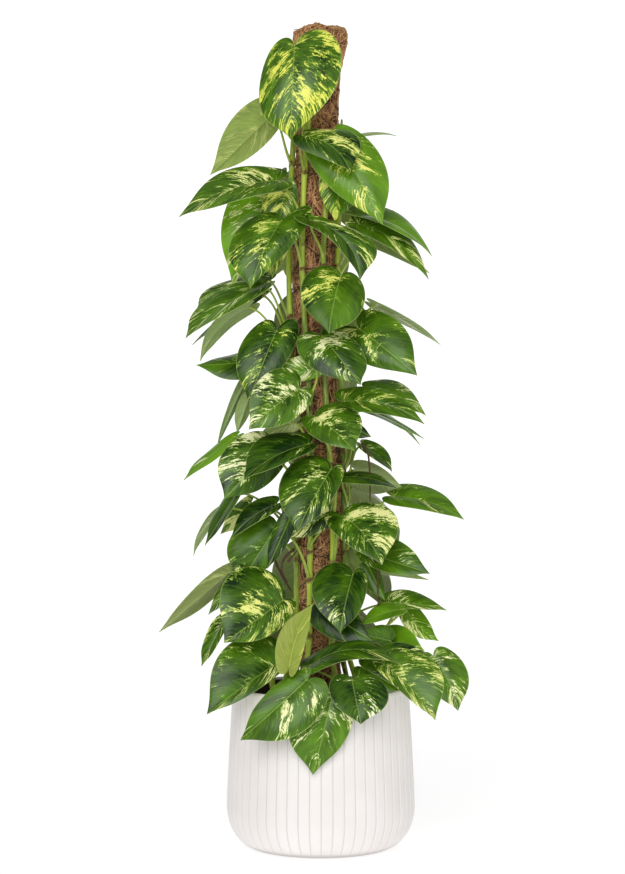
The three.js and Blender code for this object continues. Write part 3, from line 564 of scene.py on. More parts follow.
def glaze_material():
    """Matt white glazed stoneware: soft broad highlights, a faint warm mottle and a trace of tooth.
    Painted shade greys the grooves between the pleats and the foot, darker painted shade greys the
    foot's edge, and painted shade turns the inside dark brown below the lip."""
    material, tree = new_material("matt_white_glaze")
    place = add_node(tree, "ShaderNodeTexCoord").outputs["Object"]
    cloud = add_node(tree, "ShaderNodeTexNoise", {"Vector": place, "Scale": 1 / (60 * MM), "Detail": 3.0})
    tooth = add_node(tree, "ShaderNodeTexNoise", {"Vector": place, "Scale": 1 / (2 * MM), "Detail": 2.0})
    mottle = add_node(tree, "ShaderNodeMapRange", [cloud.outputs[0], 0.3, 0.7, 0.0, 1.0]).outputs[0]
    white = add_node(tree, "ShaderNodeMix", {
        0: mottle, 6: linear(settings().pot.glaze), 7: linear("#ECE6E3")}, data_type="RGBA").outputs[2]
    # Painted shade: a darker grey in the grooves and over the foot
    groove = add_node(tree, "ShaderNodeAttribute", attribute_name="groove").outputs["Fac"]
    shaded_grooves = add_node(tree, "ShaderNodeMix", {0: groove, 6: white, 7: linear("#D8D3CF")}, data_type="RGBA")
    # Painted shade: a darker grey still at the foot's edge
    edge = add_node(tree, "ShaderNodeAttribute", attribute_name="foot").outputs["Fac"]
    edge_shaded = add_node(tree, "ShaderNodeMix", {
        0: edge, 6: shaded_grooves.outputs[2], 7: linear("#ABA39D")}, data_type="RGBA")
    # Painted shade: the inside below the lip is dark brown, the outside keeps the glaze
    outer = add_node(tree, "ShaderNodeAttribute", attribute_name="outer").outputs["Fac"]
    colour = add_node(tree, "ShaderNodeMix", {
        0: outer, 6: linear("#35271D"), 7: edge_shaded.outputs[2]}, data_type="RGBA").outputs[2]
    bump = add_node(tree, "ShaderNodeBump", {
        "Strength": 0.12, "Distance": 0.2 * MM, "Height": tooth.outputs[0]}).outputs[0]
    finish_material(tree, {"Base Color": colour, "Roughness": 0.5, "Normal": bump, "IOR": 1.5})
    return material


def mark_pot(mesh, points, pleats):
    """Marks the outside, the painted shade in the grooves and over the foot, and the darker
    painted shade at the foot's edge.
    """
    x, y, z = points.T
    outside = (np.hypot(x, y) > pot_wall_radius(z) - 1) & (z > 1)
    outer = outside | (z > POT_HEIGHT - 4) | (z < 1)
    # The inside, where outer is 0, takes a dark brown painted shade in the glaze
    add_attribute(mesh, "outer", outer.astype(float))
    pleated = outside & (z > BASE_BAND) & (z < POT_HEIGHT - RIM_BAND - 0.5)
    beside = np.abs((np.arctan2(y, x) / (2 * math.pi) * pleats + 0.5) % 1 - 0.5)
    # Painted shade: darker towards the foot and in each groove between the pleats
    shaded_foot = PAINTED_FOOT_SHADE * (1 - between(0, PAINTED_FOOT_SHADE_TOP, z))
    add_attribute(mesh, "groove", np.maximum(shaded_foot, pleated * (1 - between(0.02, 0.07, beside))))
    # Painted shade: darker still at the foot's edge
    add_attribute(mesh, "foot", PAINTED_EDGE_SHADE * (1 - between(1, PAINTED_EDGE_SHADE_TOP, z)))


class MakePot(bpy.types.Operator):
    """Builds the pleated pot in place of its solid."""

    bl_idname = "pothos.pot"
    bl_label = "Pot"

    def execute(self, context):
        pot = settings().pot
        angles = ((np.arange(pot.pleats)[:, None] + PLEAT_STEPS) / pot.pleats * 2 * math.pi).ravel()
        points, faces = lathe(pot_profile(pot.lip / MM), angles)
        material = glaze_material()
        piece = new_object("pleated_pot", points, faces, [material])
        mark_pot(piece.data, points, pot.pleats)
        grow(piece, pleats_tree(), {
            "Pleats": pot.pleats, "Depth": pot.pleat_depth, "Band Foot": BASE_BAND * MM,
            "Band Top": (POT_HEIGHT - RIM_BAND - 0.5) * MM, "Material": material})
        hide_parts("pot")
        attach(piece, "root")
        return {"FINISHED"}


# Soil


def soil_material():
    """Damp peat and bark: near black, rough, with a few paler flecks of bark."""
    material, tree = new_material("damp_potting_soil")
    place = add_node(tree, "ShaderNodeTexCoord").outputs["Object"]
    grain = add_node(tree, "ShaderNodeTexNoise", {"Vector": place, "Scale": 1 / (3 * MM), "Detail": 6.0})
    fleck = add_node(tree, "ShaderNodeTexVoronoi", {"Vector": place, "Scale": 1 / (5 * MM)})
    pale = add_node(tree, "ShaderNodeMapRange", [grain.outputs[0], 0.55, 0.75, 0.0, 1.0]).outputs[0]
    base = add_node(tree, "ShaderNodeMix", {
        0: pale, 6: linear(settings().soil.colour), 7: linear("#5A4231")}, data_type="RGBA").outputs[2]
    spot = add_node(tree, "ShaderNodeMath", [fleck.outputs["Color"], 0.9], operation="GREATER_THAN")
    colour = add_node(tree, "ShaderNodeMix", {
        0: spot.outputs[0], 6: base, 7: linear("#7C6249")}, data_type="RGBA")
    bump = add_node(tree, "ShaderNodeBump", {
        "Strength": 0.8, "Distance": 1.5 * MM, "Height": grain.outputs[0]}).outputs[0]
    finish_material(tree, {"Base Color": colour.outputs[2], "Roughness": 0.92, "Normal": bump})
    return material


def crumbs_tree():
    """Scatters small faceted crumbs over the soil's top."""
    tree, given = new_tree("soil_crumbs", {
        "Density": "NodeSocketFloat", "Size": "NodeSocketFloat", "Seed": "NodeSocketInt",
        "Material": "NodeSocketMaterial"})
    place = add_node(tree, "GeometryNodeInputPosition").outputs[0]
    height = add_node(tree, "ShaderNodeSeparateXYZ", [place]).outputs[2]
    top = add_node(tree, "FunctionNodeCompare", {
        0: height, 1: (SOIL_TOP - 1) * MM}, operation="GREATER_THAN")
    spread = add_node(tree, "GeometryNodeDistributePointsOnFaces", {
        "Mesh": given["Geometry"], "Selection": top.outputs[0], "Density": given["Density"],
        "Seed": given["Seed"]})
    crumb = add_node(tree, "GeometryNodeMeshIcoSphere", {"Radius": given["Size"], "Subdivisions": 1})
    turn = add_node(tree, "FunctionNodeRandomValue", {
        "Min": (0.0, 0.0, 0.0), "Max": (6.28, 6.28, 6.28)}, data_type="FLOAT_VECTOR").outputs[0]
    size = add_node(tree, "FunctionNodeRandomValue", {
        "Min": (0.12, 0.12, 0.1), "Max": (0.55, 0.45, 0.4)}, data_type="FLOAT_VECTOR").outputs[0]
    strewn = add_node(tree, "GeometryNodeInstanceOnPoints", {
        "Points": spread.outputs[0], "Instance": crumb.outputs[0], "Rotation": turn, "Scale": size})
    both = add_node(tree, "GeometryNodeJoinGeometry")
    tree.links.new(given["Geometry"], both.inputs[0])
    tree.links.new(strewn.outputs[0], both.inputs[0])
    end_tree(tree, both.outputs[0], given["Material"])
    return tree


class MakeSoil(bpy.types.Operator):
    """Builds the crumbly soil in place of its solid."""

    bl_idname = "pothos.soil"
    bl_label = "Soil"

    def execute(self, context):
        soil = settings().soil
        angles = np.arange(96) / 96 * 2 * math.pi
        profile = [[0, POT_FLOOR + 0.5], [POT_BASE_RADIUS - 14, POT_FLOOR + 0.5]]
        inset = POT_WALL + SOIL_CLEARANCE
        profile += [[float(pot_wall_radius(h)) - inset, h] for h in (24, 60, 130, SOIL_TOP - 1)]
        rings = np.linspace(SOIL_RADIUS, 4, 26)
        mound = SOIL_MOUND * (1 - (rings / (SOIL_RADIUS + 2)) ** 2)
        profile += [[radius, SOIL_TOP + raised - 2] for radius, raised in zip(rings, mound)]
        points, faces = lathe(profile + [[0, SOIL_TOP + SOIL_MOUND - 2]], angles)
        x, y, z = points.T.copy()
        lumps = np.sin(x / 7.3 + 1.7 * np.sin(y / 9.1)) + np.sin(y / 6.1 + 2.1 * np.sin(x / 11.3))
        lumpy = (z > SOIL_TOP - 3) & (np.hypot(x, y) < SOIL_RADIUS - 4)
        points[:, 2] += np.where(lumpy, 0.9 * lumps, 0)
        material = soil_material()
        piece = new_object("crumbly_soil", points, faces, [material])
        grow(piece, crumbs_tree(), {
            "Density": soil.crumb_density, "Size": soil.crumb, "Seed": CRUMB_SEED, "Material": material})
        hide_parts("soil")
        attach(piece, "root")
        return {"FINISHED"}


# Coir pole


def pole_centre(height):
    """The pole leans a little to the left at mid height."""
    away = (np.asarray(height, float) - POLE_BEND_HEIGHT) / POLE_BEND_SPREAD
    return POLE_BEND * np.exp(-away * away)


def coir_radius(angle, height):
    """The coir is a little lumpy and tufted, and flares at its frayed top."""
    lumps = 0.8 * np.sin(3 * angle + height / 61) + 0.7 * np.sin(2 * angle - height / 37)
    tufts = 0.6 * np.sin(9 * angle + height / 11) * np.sin(5 * angle - height / 17)
    flare = POLE_FLARE * between(1150, 1205, height) * (1 + 0.3 * np.cos(2 * angle))
    return POLE_RADIUS - CORE_INSET + lumps + tufts + flare


def coir_material():
    """Matted coconut fibre: every fibre its own brown, dull, with painted shade on the core that shows
    between the fibres, and paler towards the top."""
    material, tree = new_material("matted_coir_fibre")
    pole = settings().pole
    place = add_node(tree, "ShaderNodeTexCoord").outputs["Object"]
    shade = add_node(tree, "ShaderNodeAttribute", attribute_name="shade").outputs["Fac"]
    patch = add_node(tree, "ShaderNodeTexNoise", {"Vector": place, "Scale": 1 / (22 * MM), "Detail": 3.0})
    grain = add_node(tree, "ShaderNodeTexNoise", {"Vector": place, "Scale": 1 / (1.6 * MM), "Detail": 4.0})
    tone = add_node(tree, "ShaderNodeMath", [patch.outputs[0], shade], operation="MULTIPLY").outputs[0]
    lift = add_node(tree, "ShaderNodeMapRange", [tone, 0.07, 0.41, 0.0, 1.0]).outputs[0]
    height = add_node(tree, "ShaderNodeSeparateXYZ", [place]).outputs[2]
    # The coir turns paler over the top
    paling = add_node(tree, "ShaderNodeMapRange", [
        height, (POLE_TOP - PALE_TOP_LENGTH) * MM, POLE_TOP * MM, 0.0, 0.3]).outputs[0]
    paled = add_node(tree, "ShaderNodeMath", [lift, paling], operation="ADD", use_clamp=True).outputs[0]
    base = add_node(tree, "ShaderNodeMix", {
        0: paled, 6: linear(pole.dark), 7: linear(pole.light)}, data_type="RGBA").outputs[2]
    deep = add_node(tree, "ShaderNodeMapRange", [grain.outputs[0], 0.35, 0.65, 0.0, 0.4]).outputs[0]
    colour = add_node(tree, "ShaderNodeMix", {0: deep, 6: base, 7: linear("#6A3F20")}, data_type="RGBA")
    bump = add_node(tree, "ShaderNodeBump", {
        "Strength": 0.7, "Distance": 0.6 * MM, "Height": grain.outputs[0]}).outputs[0]
    finish_material(tree, {"Base Color": colour.outputs[2], "Roughness": 0.85, "Normal": bump})
    return material


def stake_material():
    """Rough-sawn softwood: pale, with grain that runs up the stake."""
    material, tree = new_material("rough_sawn_softwood")
    place = add_node(tree, "ShaderNodeTexCoord").outputs["Object"]
    drawn = add_node(tree, "ShaderNodeMapping", {"Vector": place, "Scale": (1, 1, 0.06)}).outputs[0]
    grain = add_node(tree, "ShaderNodeTexNoise", {"Vector": drawn, "Scale": 1 / (2 * MM), "Detail": 5.0})
    colour = add_node(tree, "ShaderNodeMix", {
        0: grain.outputs[0], 6: linear("#B5905F"), 7: linear("#8A6A42")}, data_type="RGBA").outputs[2]
    bump = add_node(tree, "ShaderNodeBump", {
        "Strength": 0.4, "Distance": 0.3 * MM, "Height": grain.outputs[0]}).outputs[0]
    finish_material(tree, {"Base Color": colour, "Roughness": 0.75, "Normal": bump})
    return material


def strewn_fibres(tree, given):
    """Straight fibres of many lengths on points all over the coir, turned every way."""
    spread = add_node(tree, "GeometryNodeDistributePointsOnFaces", {
        "Mesh": given["Geometry"], "Density": given["Density"], "Seed": given["Seed"]})
    shade = add_node(tree, "FunctionNodeRandomValue", {2: 0.15, 3: 1.0, "Seed": 3}).outputs[1]
    toned = add_node(tree, "GeometryNodeStoreNamedAttribute", {
        "Geometry": spread.outputs[0], "Name": "shade", "Value": shade}).outputs[0]
    half = add_node(tree, "ShaderNodeMath", [given["Length"], 0.5], operation="MULTIPLY").outputs[0]
    ahead = add_node(tree, "ShaderNodeCombineXYZ", [half, 0.0, 0.0]).outputs[0]
    behind = add_node(tree, "ShaderNodeVectorMath", {0: ahead, "Scale": -1.0}, operation="SCALE").outputs[0]
    line = add_node(tree, "GeometryNodeCurvePrimitiveLine", {"Start": behind, "End": ahead}).outputs[0]
    fine = add_node(tree, "GeometryNodeResampleCurve", {"Curve": line, "Count": 5}).outputs[0]
    spin = add_node(tree, "FunctionNodeRandomValue", {2: -1.57, 3: 1.57, "Seed": 5}).outputs[1]
    about = add_node(tree, "FunctionNodeAxisAngleToRotation", {"Axis": (0.0, 0.0, 1.0), "Angle": spin})
    turned = add_node(tree, "FunctionNodeRotateRotation", [spread.outputs["Rotation"], about.outputs[0]],
                      rotation_space="LOCAL").outputs[0]
    size = add_node(tree, "FunctionNodeRandomValue", {2: 0.45, 3: 1.25, "Seed": 8}).outputs[1]
    laid = add_node(tree, "GeometryNodeInstanceOnPoints", {
        "Points": toned, "Instance": fine, "Rotation": turned, "Scale": size}).outputs[0]
    return add_node(tree, "GeometryNodeRealizeInstances", [laid]).outputs[0]


def fibre_places(tree, target, place):
    """Each point's place: on the coir or a little loose from it, and looser at the frayed top."""
    vector = "ShaderNodeVectorMath"
    near = add_node(tree, "GeometryNodeProximity", {"Target": target}, target_element="FACES")
    normal = add_node(tree, "GeometryNodeInputNormal").outputs[0]
    facing = add_node(tree, "GeometryNodeSampleNearestSurface", {
        "Mesh": target, "Value": normal}, data_type="FLOAT_VECTOR").outputs[0]
    loose = add_node(tree, "ShaderNodeTexNoise", {"Vector": place, "Scale": 1 / (9 * MM), "Detail": 0.0})
    rise = add_node(tree, "ShaderNodeMapRange", [
        loose.outputs[0], 0.3, 0.72, -0.3 * MM, 2.4 * MM]).outputs[0]
    height = add_node(tree, "ShaderNodeSeparateXYZ", [place]).outputs[2]
    fray = add_node(tree, "ShaderNodeMapRange", [
        height, (POLE_TOP - FRAY_LENGTH) * MM, POLE_TOP * MM, 1.0, 2.4]).outputs[0]
    loft = add_node(tree, "ShaderNodeMath", [rise, fray], operation="MULTIPLY").outputs[0]
    lift = add_node(tree, vector, {0: facing, "Scale": loft}, operation="SCALE").outputs[0]
    return add_node(tree, vector, [near.outputs[0], lift], operation="ADD").outputs[0]


def fibres_tree():
    """Lays curved fibres every way over the coir, close to its surface."""
    tree, given = new_tree("coir_fibres", {
        "Density": "NodeSocketFloat", "Length": "NodeSocketFloat", "Width": "NodeSocketFloat",
        "Seed": "NodeSocketInt", "Material": "NodeSocketMaterial"})
    vector = "ShaderNodeVectorMath"
    straight = strewn_fibres(tree, given)
    place = add_node(tree, "GeometryNodeInputPosition").outputs[0]
    curl = add_node(tree, "ShaderNodeTexNoise", {"Vector": place, "Scale": 1 / (16 * MM), "Detail": 1.0})
    centred = add_node(tree, vector, [curl.outputs["Color"], (0.5, 0.5, 0.5)], operation="SUBTRACT")
    push = add_node(tree, vector, {0: centred.outputs[0], "Scale": 26 * MM}, operation="SCALE").outputs[0]
    bent = add_node(tree, "GeometryNodeSetPosition", {"Geometry": straight, "Offset": push}).outputs[0]
    held = add_node(tree, "GeometryNodeSetPosition", {
        "Geometry": bent, "Position": fibre_places(tree, given["Geometry"], place)}).outputs[0]
    ring = add_node(tree, "GeometryNodeCurvePrimitiveCircle", {"Resolution": 3, "Radius": given["Width"]})
    thick = add_node(tree, "GeometryNodeSetCurveRadius", {"Curve": held, "Radius": 0.5}).outputs[0]
    tubes = add_node(tree, "GeometryNodeCurveToMesh", {
        "Curve": thick, "Profile Curve": ring.outputs[0], "Fill Caps": True}).outputs[0]
    end_tree(tree, tubes, given["Material"])
    return tree


def pole_core():
    """Points and faces of the coir's core: narrow in the soil, lumpy above it, uneven at its top."""
    heights = np.concatenate([[POLE_BOTTOM + 1], np.arange(SOIL_TOP - 12, POLE_TOP - 5, 7)])
    profile = [[0, POLE_BOTTOM + 1]] + [[1, height] for height in heights]
    profile += [[0.9, POLE_TOP - 3], [0.72, POLE_TOP - 1], [0.4, POLE_TOP], [0, POLE_TOP + 0.5]]
    points, faces = lathe(profile, np.arange(72) / 72 * 2 * math.pi)
    x, y, z = points.T.copy()
    angle = np.arctan2(y, x)
    radius = np.where(z < SOIL_TOP - 13, POLE_RADIUS - 2, coir_radius(angle, z))
    tufts = np.where(z > POLE_TOP - 5, 3 * np.sin(3 * angle + 1.2) * np.hypot(x, y), 0)
    return np.stack([pole_centre(z) + x * radius, y * radius, z + tufts], 1), faces, z


class MakePole(bpy.types.Operator):
    """Builds the coir pole's core and its fibres in place of the solid, and finishes the stake."""

    bl_idname = "pothos.pole"
    bl_label = "Coir pole"

    def execute(self, context):
        pole = settings().pole
        material = coir_material()
        points, faces, heights = pole_core()
        core = new_object("coir_core", points, faces, [material])
        # Painted shade: the core's low tone makes it show dark between the fibres
        add_attribute(core.data, "shade", np.full(len(points), 0.16))
        wrapped = heights > SOIL_TOP - 13
        shown = [face for face in faces if wrapped[list(face)].all()]
        fibres = new_object("coir_fibres", points, shown, [material])
        grow(fibres, fibres_tree(), {
            "Density": pole.fibre_density, "Length": pole.fibre_length, "Width": pole.fibre_width,
            "Seed": FIBRE_SEED, "Material": material})
        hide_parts("coir_pole")
        for piece in (core, fibres):
            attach(piece, "root")
        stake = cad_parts["pole_stake"]
        stake.data.materials.clear()
        stake.data.materials.append(stake_material())
        return {"FINISHED"}


# Leaves


def seen(place):
    """A point set out as it is seen from the front, as a point in space."""
    across, height, depth = place
    scale = (EYE_DISTANCE + depth) / EYE_DISTANCE
    x = EYE_ACROSS + (across - EYE_ACROSS) * scale
    return np.array([x, depth, EYE_HEIGHT + (height - EYE_HEIGHT) * scale])


def front_leaf(row):
    """One leaf from its row: its place and its two sides in space, and its look."""
    label, at, base, tip, bow, side_a, side_b = row[:7]
    base, tip = seen(base), seen(tip)
    axis = unit((tip - base) * [1, 0, 1])

    def square(across, depth, along=0):
        return np.array([axis[2] * across, depth, -axis[0] * across]) + along * axis

    tone, marbling, warmth, *focus = LOOKS[label]
    return {
        "at": at, "base": base, "tip": tip, "bow": square(*bow), "side_a": square(*side_a),
        "side_b": square(-side_b[0], *side_b[1:]), "facing": -1 if len(row) > 7 else 1,
        "seed": sum(ord(letter) * 7 ** i for i, letter in enumerate(label)) % 997,
        "tone": tone, "marbling": marbling, "warmth": warmth, "focus": focus,
    }


def outward_leaf(at, height, bearing, reach, length, droop, roll, count):
    """One leaf that hangs outwards from the pole at this bearing. Higher ones are brighter."""
    turn, fall, tilt = math.radians(bearing), math.radians(droop), math.radians(roll)
    out = np.array([math.cos(turn), math.sin(turn), 0])
    across = np.array([-out[1], out[0], 0])
    axis = out * math.cos(fall) - [0, 0, math.sin(fall)]
    up = -np.cross(across, axis)
    base = np.array([float(pole_centre(height)), 0, height]) + reach * out
    side = across * math.cos(tilt) + up * math.sin(tilt)
    half = 0.38 * length
    wild = np.random.default_rng(int(bearing * 31 + count))
    return {
        "at": at, "base": base, "tip": base + length * axis, "bow": 0.1 * length * up,
        "side_a": -half * side - 0.12 * length * up, "side_b": half * side - 0.12 * length * up,
        "facing": 1, "seed": 300 + int(bearing) + 13 * count, "tone": 0.25 + 0.3 * (height / 1200),
        "marbling": wild.choice([0.05, 0.1, 0.18, 0.3]), "warmth": 0.35 + 0.3 * (height / 1200),
        "focus": [],
    }


def back_leaves(reach, rise, bearings):
    """Leaves round the back at these bearings, tier by tier."""
    leaves = []
    for i, bearing in enumerate(bearings):
        height = LOWEST_TIER + TIER_STEP * i
        length = BACK_LENGTH + 12 * math.sin(1.7 * i + reach)
        droop = BACK_DROOP + 10 * math.sin(2.9 * i)
        leaves.append(outward_leaf(
            height - rise, height, bearing, reach, length, droop, 8 * math.sin(3.3 * i), i))
    return leaves


def climbing_route(root, bearing, top):
    """A stem's middle line: from the soil over to the pole, then up it, swaying a little."""
    x, y = root
    points = [[x, y, SOIL_TOP - PLANTING_DEPTH]]
    for height in np.arange(SOIL_TOP + 10, top, 31):
        joined = between(SOIL_TOP, JOIN_POLE_AT, height)
        sway = math.radians(bearing + 5 * math.sin(height / 95 + bearing))
        reach = CLIMB_RADIUS + 5 * between(1130, 1170, height)
        on_pole = [pole_centre(height) + reach * math.cos(sway), reach * math.sin(sway)]
        points.append([x + (on_pole[0] - x) * joined, y + (on_pole[1] - y) * joined, height])
    return np.array(points)


def on_route(route, height):
    """The point of a route at this height."""
    return np.array([np.interp(height, route[:, 2], route[:, k]) for k in range(3)])


def margin(angle):
    """The heart-shaped margin, along and across, by its angle at the base from the midrib."""
    rounding = -0.07 * np.cos(2 * angle) - 0.01 * np.cos(3 * angle)
    reach = 0.48 + 0.42 * np.cos(angle) + rounding + 0.18 * np.exp(-angle / 0.18)
    return reach * np.cos(angle), reach * np.sin(angle) / WIDEST


def all_vines():
    """Name, bearing, route and leaves of every vine."""
    climbing = [
        ("vine_left", -162, [-62, -16], 1110, [front_leaf(row) for row in LEFT_LEAVES]),
        ("vine_front_left", -112, [-34, -48], 1125, [front_leaf(row) for row in FRONT_LEFT_LEAVES]),
        ("vine_front_right", -66, [26, -50], 1080, [front_leaf(row) for row in FRONT_RIGHT_LEAVES]),
        ("vine_right", -14, [60, -12], 1100, [front_leaf(row) for row in RIGHT_LEAVES]),
        ("vine_back_right", 46, [44, 42], 1060, back_leaves(68, 75, BACK_RIGHT_BEARINGS)),
        ("vine_back", 93, [0, 60], 1140, back_leaves(104, -15, BACK_BEARINGS)),
        ("vine_back_left", 140, [-46, 40], 1050, back_leaves(68, 75, BACK_LEFT_BEARINGS)),
    ]
    low = [
        ("vine_low_right", -40, LOW_RIGHT_ROUTE, [front_leaf(row) for row in LOW_RIGHT_LEAVES]),
        ("vine_low_left", -140, LOW_LEFT_ROUTE, [front_leaf(row) for row in LOW_LEFT_LEAVES]),
    ]
    vines = [
        (name, bearing, climbing_route(root, bearing, top), leaves)
        for name, bearing, root, top, leaves in climbing]
    return vines + [(name, bearing, np.array(route, float), leaves) for name, bearing, route, leaves in low]


# Every blade has the same grid: rows from the notch to the tip, columns from side b to side a
ROWS = 34
HALF = np.array([0.04, 0.1, 0.19, 0.3, 0.42, 0.55, 0.67, 0.78, 0.87, 0.94, 0.98, 1])
ACROSS = np.concatenate([-HALF[::-1], [0], HALF])
ANGLES = math.pi * (1 - np.linspace(0, 1, ROWS)) ** 1.35


def blade_lines():
    """For each row: rib root, margin along and across, and the share of the margin's length."""
    along, across = margin(ANGLES)
    root = np.maximum(0, 1 - ANGLES / BASE_ANGLE) ** 1.7
    steps = np.hypot(np.diff(along), np.diff(across) * WIDEST)
    share = np.concatenate([[0], np.cumsum(steps)])
    return root, along, across, share / share[-1]


def blade_numbering():
    """One number for each place on the grid: the base and the tip are one point each."""
    middle = len(HALF)
    columns = len(ACROSS)
    root = blade_lines()[0]
    numbers = np.zeros((ROWS, columns), int)
    count = 1
    for i in range(1, ROWS - 1):
        for j in range(columns):
            if j == middle and root[i] == 0:
                continue
            numbers[i, j] = count
            count += 1
    numbers[ROWS - 1, :] = count
    return numbers, count + 1


def blade_faces():
    """Faces of the upper side, of the lower side and of the rim between them."""
    numbers, count = blade_numbering()
    sheet = []
    for i in range(ROWS - 1):
        for j in range(len(ACROSS) - 1):
            around = [numbers[i, j], numbers[i, j + 1], numbers[i + 1, j + 1], numbers[i + 1, j]]
            face = [n for k, n in enumerate(around) if n != around[k - 1]]
            if len(set(face)) >= 3:
                sheet.append(face)
    edge = list(numbers[:, -1]) + list(numbers[::-1, 0])[1:]
    lower = [[n + count for n in reversed(face)] for face in sheet]
    rim = [[b, a, a + count, b + count] for a, b in zip(edge, edge[1:]) if a != b]
    return sheet + lower + rim, count


def blade_surface(leaf):
    """The middle sheet as rows of points, each row's share along the margin, and half widths in
    millimetres.
    """
    root, along, across, share = blade_lines()
    s = ACROSS[None, :]
    out = np.abs(s)
    u = root[:, None] + (along - root)[:, None] * out
    bow = np.where(u > 0, 4 * u * (1 - u), 2 * u)
    axis = unit(leaf["tip"] - leaf["base"])
    sides, ups = [], []
    for name, sign in (("side_b", 1), ("side_a", -1)):
        sides.append(leaf[name])
        ups.append(unit(np.cross(axis, leaf[name])) * sign)
    half = np.where(s[..., None] > 0, sides[1], sides[0])
    up = np.where(s[..., None] > 0, ups[1], ups[0])
    wide = np.linalg.norm(half, axis=2)
    reach = across[:, None] * out
    puff = leaf["facing"] * BLADE_PUFF * wide * across[:, None] * 4 * out * (1 - out)
    points = leaf["base"] + (leaf["tip"] - leaf["base"]) * u[..., None] + leaf["bow"] * bow[..., None]
    points = points + half * reach[..., None] + up * puff[..., None]
    return points, share, reach * wide


def sheet_normals(points, facing):
    """Normals of a grid of points, filled in where rows or columns run together."""
    down = np.gradient(points, axis=0)
    over = np.gradient(points, axis=1)
    normal = np.cross(over, down) * facing
    size = np.linalg.norm(normal, axis=2, keepdims=True)
    good = size[..., 0] > 1e-3
    normal = normal / np.maximum(size, 1e-9)
    middle = len(HALF)
    beside = normal[:, middle - 1] + normal[:, middle + 1]
    normal[:, middle] = beside / np.maximum(np.linalg.norm(beside, axis=1, keepdims=True), 1e-9)
    for i in (0, ROWS - 1):
        inner = normal[1 if i == 0 else ROWS - 2].mean(0)
        normal[i] = unit(inner)
    bad = ~good
    bad[:, middle] = False
    normal[bad] = unit(normal[good].mean(0))
    return normal


def blade_points(leaf, look):
    """Upper and lower points of one blade with its quilting, waves, midrib and drawn-out tip."""
    points, share, across_mm = blade_surface(leaf)
    facing = leaf["facing"]
    wild = np.random.default_rng(leaf["seed"])
    length = np.linalg.norm(leaf["tip"] - leaf["base"])
    s = ACROSS[None, :]
    out = np.abs(s)
    vein = share[:, None] - 0.1 * out ** 1.5
    normal = sheet_normals(points, facing)
    open_field = np.sin(math.pi * out ** 0.8) * between(0.02, 0.15, share)[:, None]
    ridges = np.abs(np.sin(math.pi * look.vein_pairs * vein)) ** 0.8 - 0.6
    rise = look.quilting * length * ridges * open_field
    phase = np.where(s > 0, wild.uniform(0, 6.28), wild.uniform(0, 6.28))
    turns = wild.uniform(1.2, 2.2)
    wave = np.sin(2 * math.pi * turns * share[:, None] + phase) * out ** 2.6
    rise = rise + look.waviness * length * wave * np.sin(math.pi * share[:, None] ** 0.7)
    points = points + normal * rise[..., None]
    normal = sheet_normals(points, facing)
    thick = look.thickness / MM / 2 * (1 - 0.25 * out ** 4)
    rib = 1 - 0.75 * share[:, None]
    groove = 0.45 * rib * np.exp(-(across_mm / 1.3) ** 2)
    keel = 1.1 * rib * np.exp(-(across_mm / 1.5) ** 2)
    upper = points + normal * (thick - groove)[..., None]
    lower = points - normal * (thick + keel)[..., None]
    shown = np.broadcast_to(vein, (ROWS, len(ACROSS)))
    mapped = np.stack([shown, np.broadcast_to(s, shown.shape), np.full(shown.shape, leaf["seed"])], 2)
    real = np.stack([shown * 1.35 * length, across_mm * np.sign(s), np.zeros(shown.shape)], 2)
    return upper, lower, mapped, real


def blade_look(leaf):
    """Tone, marbling and warmth over one blade. Marbling gathers round its focus, if it has one."""
    share = blade_lines()[3][:, None]
    marbling = np.full((ROWS, len(ACROSS)), float(leaf["marbling"]))
    if leaf["focus"]:
        along, across = leaf["focus"]
        near = np.exp(-((share - along) / 0.24) ** 2 - ((ACROSS[None, :] - across) / 0.6) ** 2)
        marbling = marbling * (0.6 + 0.8 * near)
    tone = np.full_like(marbling, leaf["tone"])
    return np.stack([tone, marbling, np.full_like(marbling, leaf["warmth"])], 2)


def gather(grid, count, numbers):
    """The grid's values as one row for each numbered point."""
    flat = np.zeros((count, grid.shape[-1]))
    flat[numbers.ravel()] = grid.reshape(-1, grid.shape[-1])
    return flat


def tube_faces(count, sides):
    """Faces between rings, then those of the two ends, whose middle points come last."""
    faces = []
    for row in range(count - 1):
        for k in range(sides):
            after = (k + 1) % sides
            low, high = row * sides, (row + 1) * sides
            faces.append([low + k, low + after, high + after, high + k])
    start, end = count * sides, count * sides + 1
    for k in range(sides):
        after = (k + 1) % sides
        faces.append([start, after, k])
        faces.append([end, (count - 1) * sides + k, (count - 1) * sides + after])
    return faces


def tube(path, radii, sides, shape=None, lead=(0, 0, 1)):
    """Rings along a path, closed at both ends. A shape scales each ring by its angle, which is
    counted from the lead."""
    path = np.asarray(path, float)
    ahead = np.gradient(path, axis=0)
    ahead /= np.linalg.norm(ahead, axis=1, keepdims=True)
    lead = np.asarray(lead, float)
    turn = np.arange(sides) / sides * 2 * math.pi
    points = []
    for k, (centre, way) in enumerate(zip(path, ahead)):
        lead = lead - way * lead.dot(way)
        if np.linalg.norm(lead) < 1e-4:
            lead = np.cross(way, [0.3, 0.8, 0.5])
        lead = unit(lead)
        beside = np.cross(way, lead)
        scale = np.ones(sides) if shape is None else shape(turn, k / (len(path) - 1))
        ring = np.cos(turn)[:, None] * lead + np.sin(turn)[:, None] * beside
        points.append(centre + ring * (radii[k] * scale)[:, None])
    points += [path[:1] - ahead[0] * radii[0] * 0.4, path[-1:] + ahead[-1] * radii[-1]]
    return np.concatenate(points), tube_faces(len(path), sides)


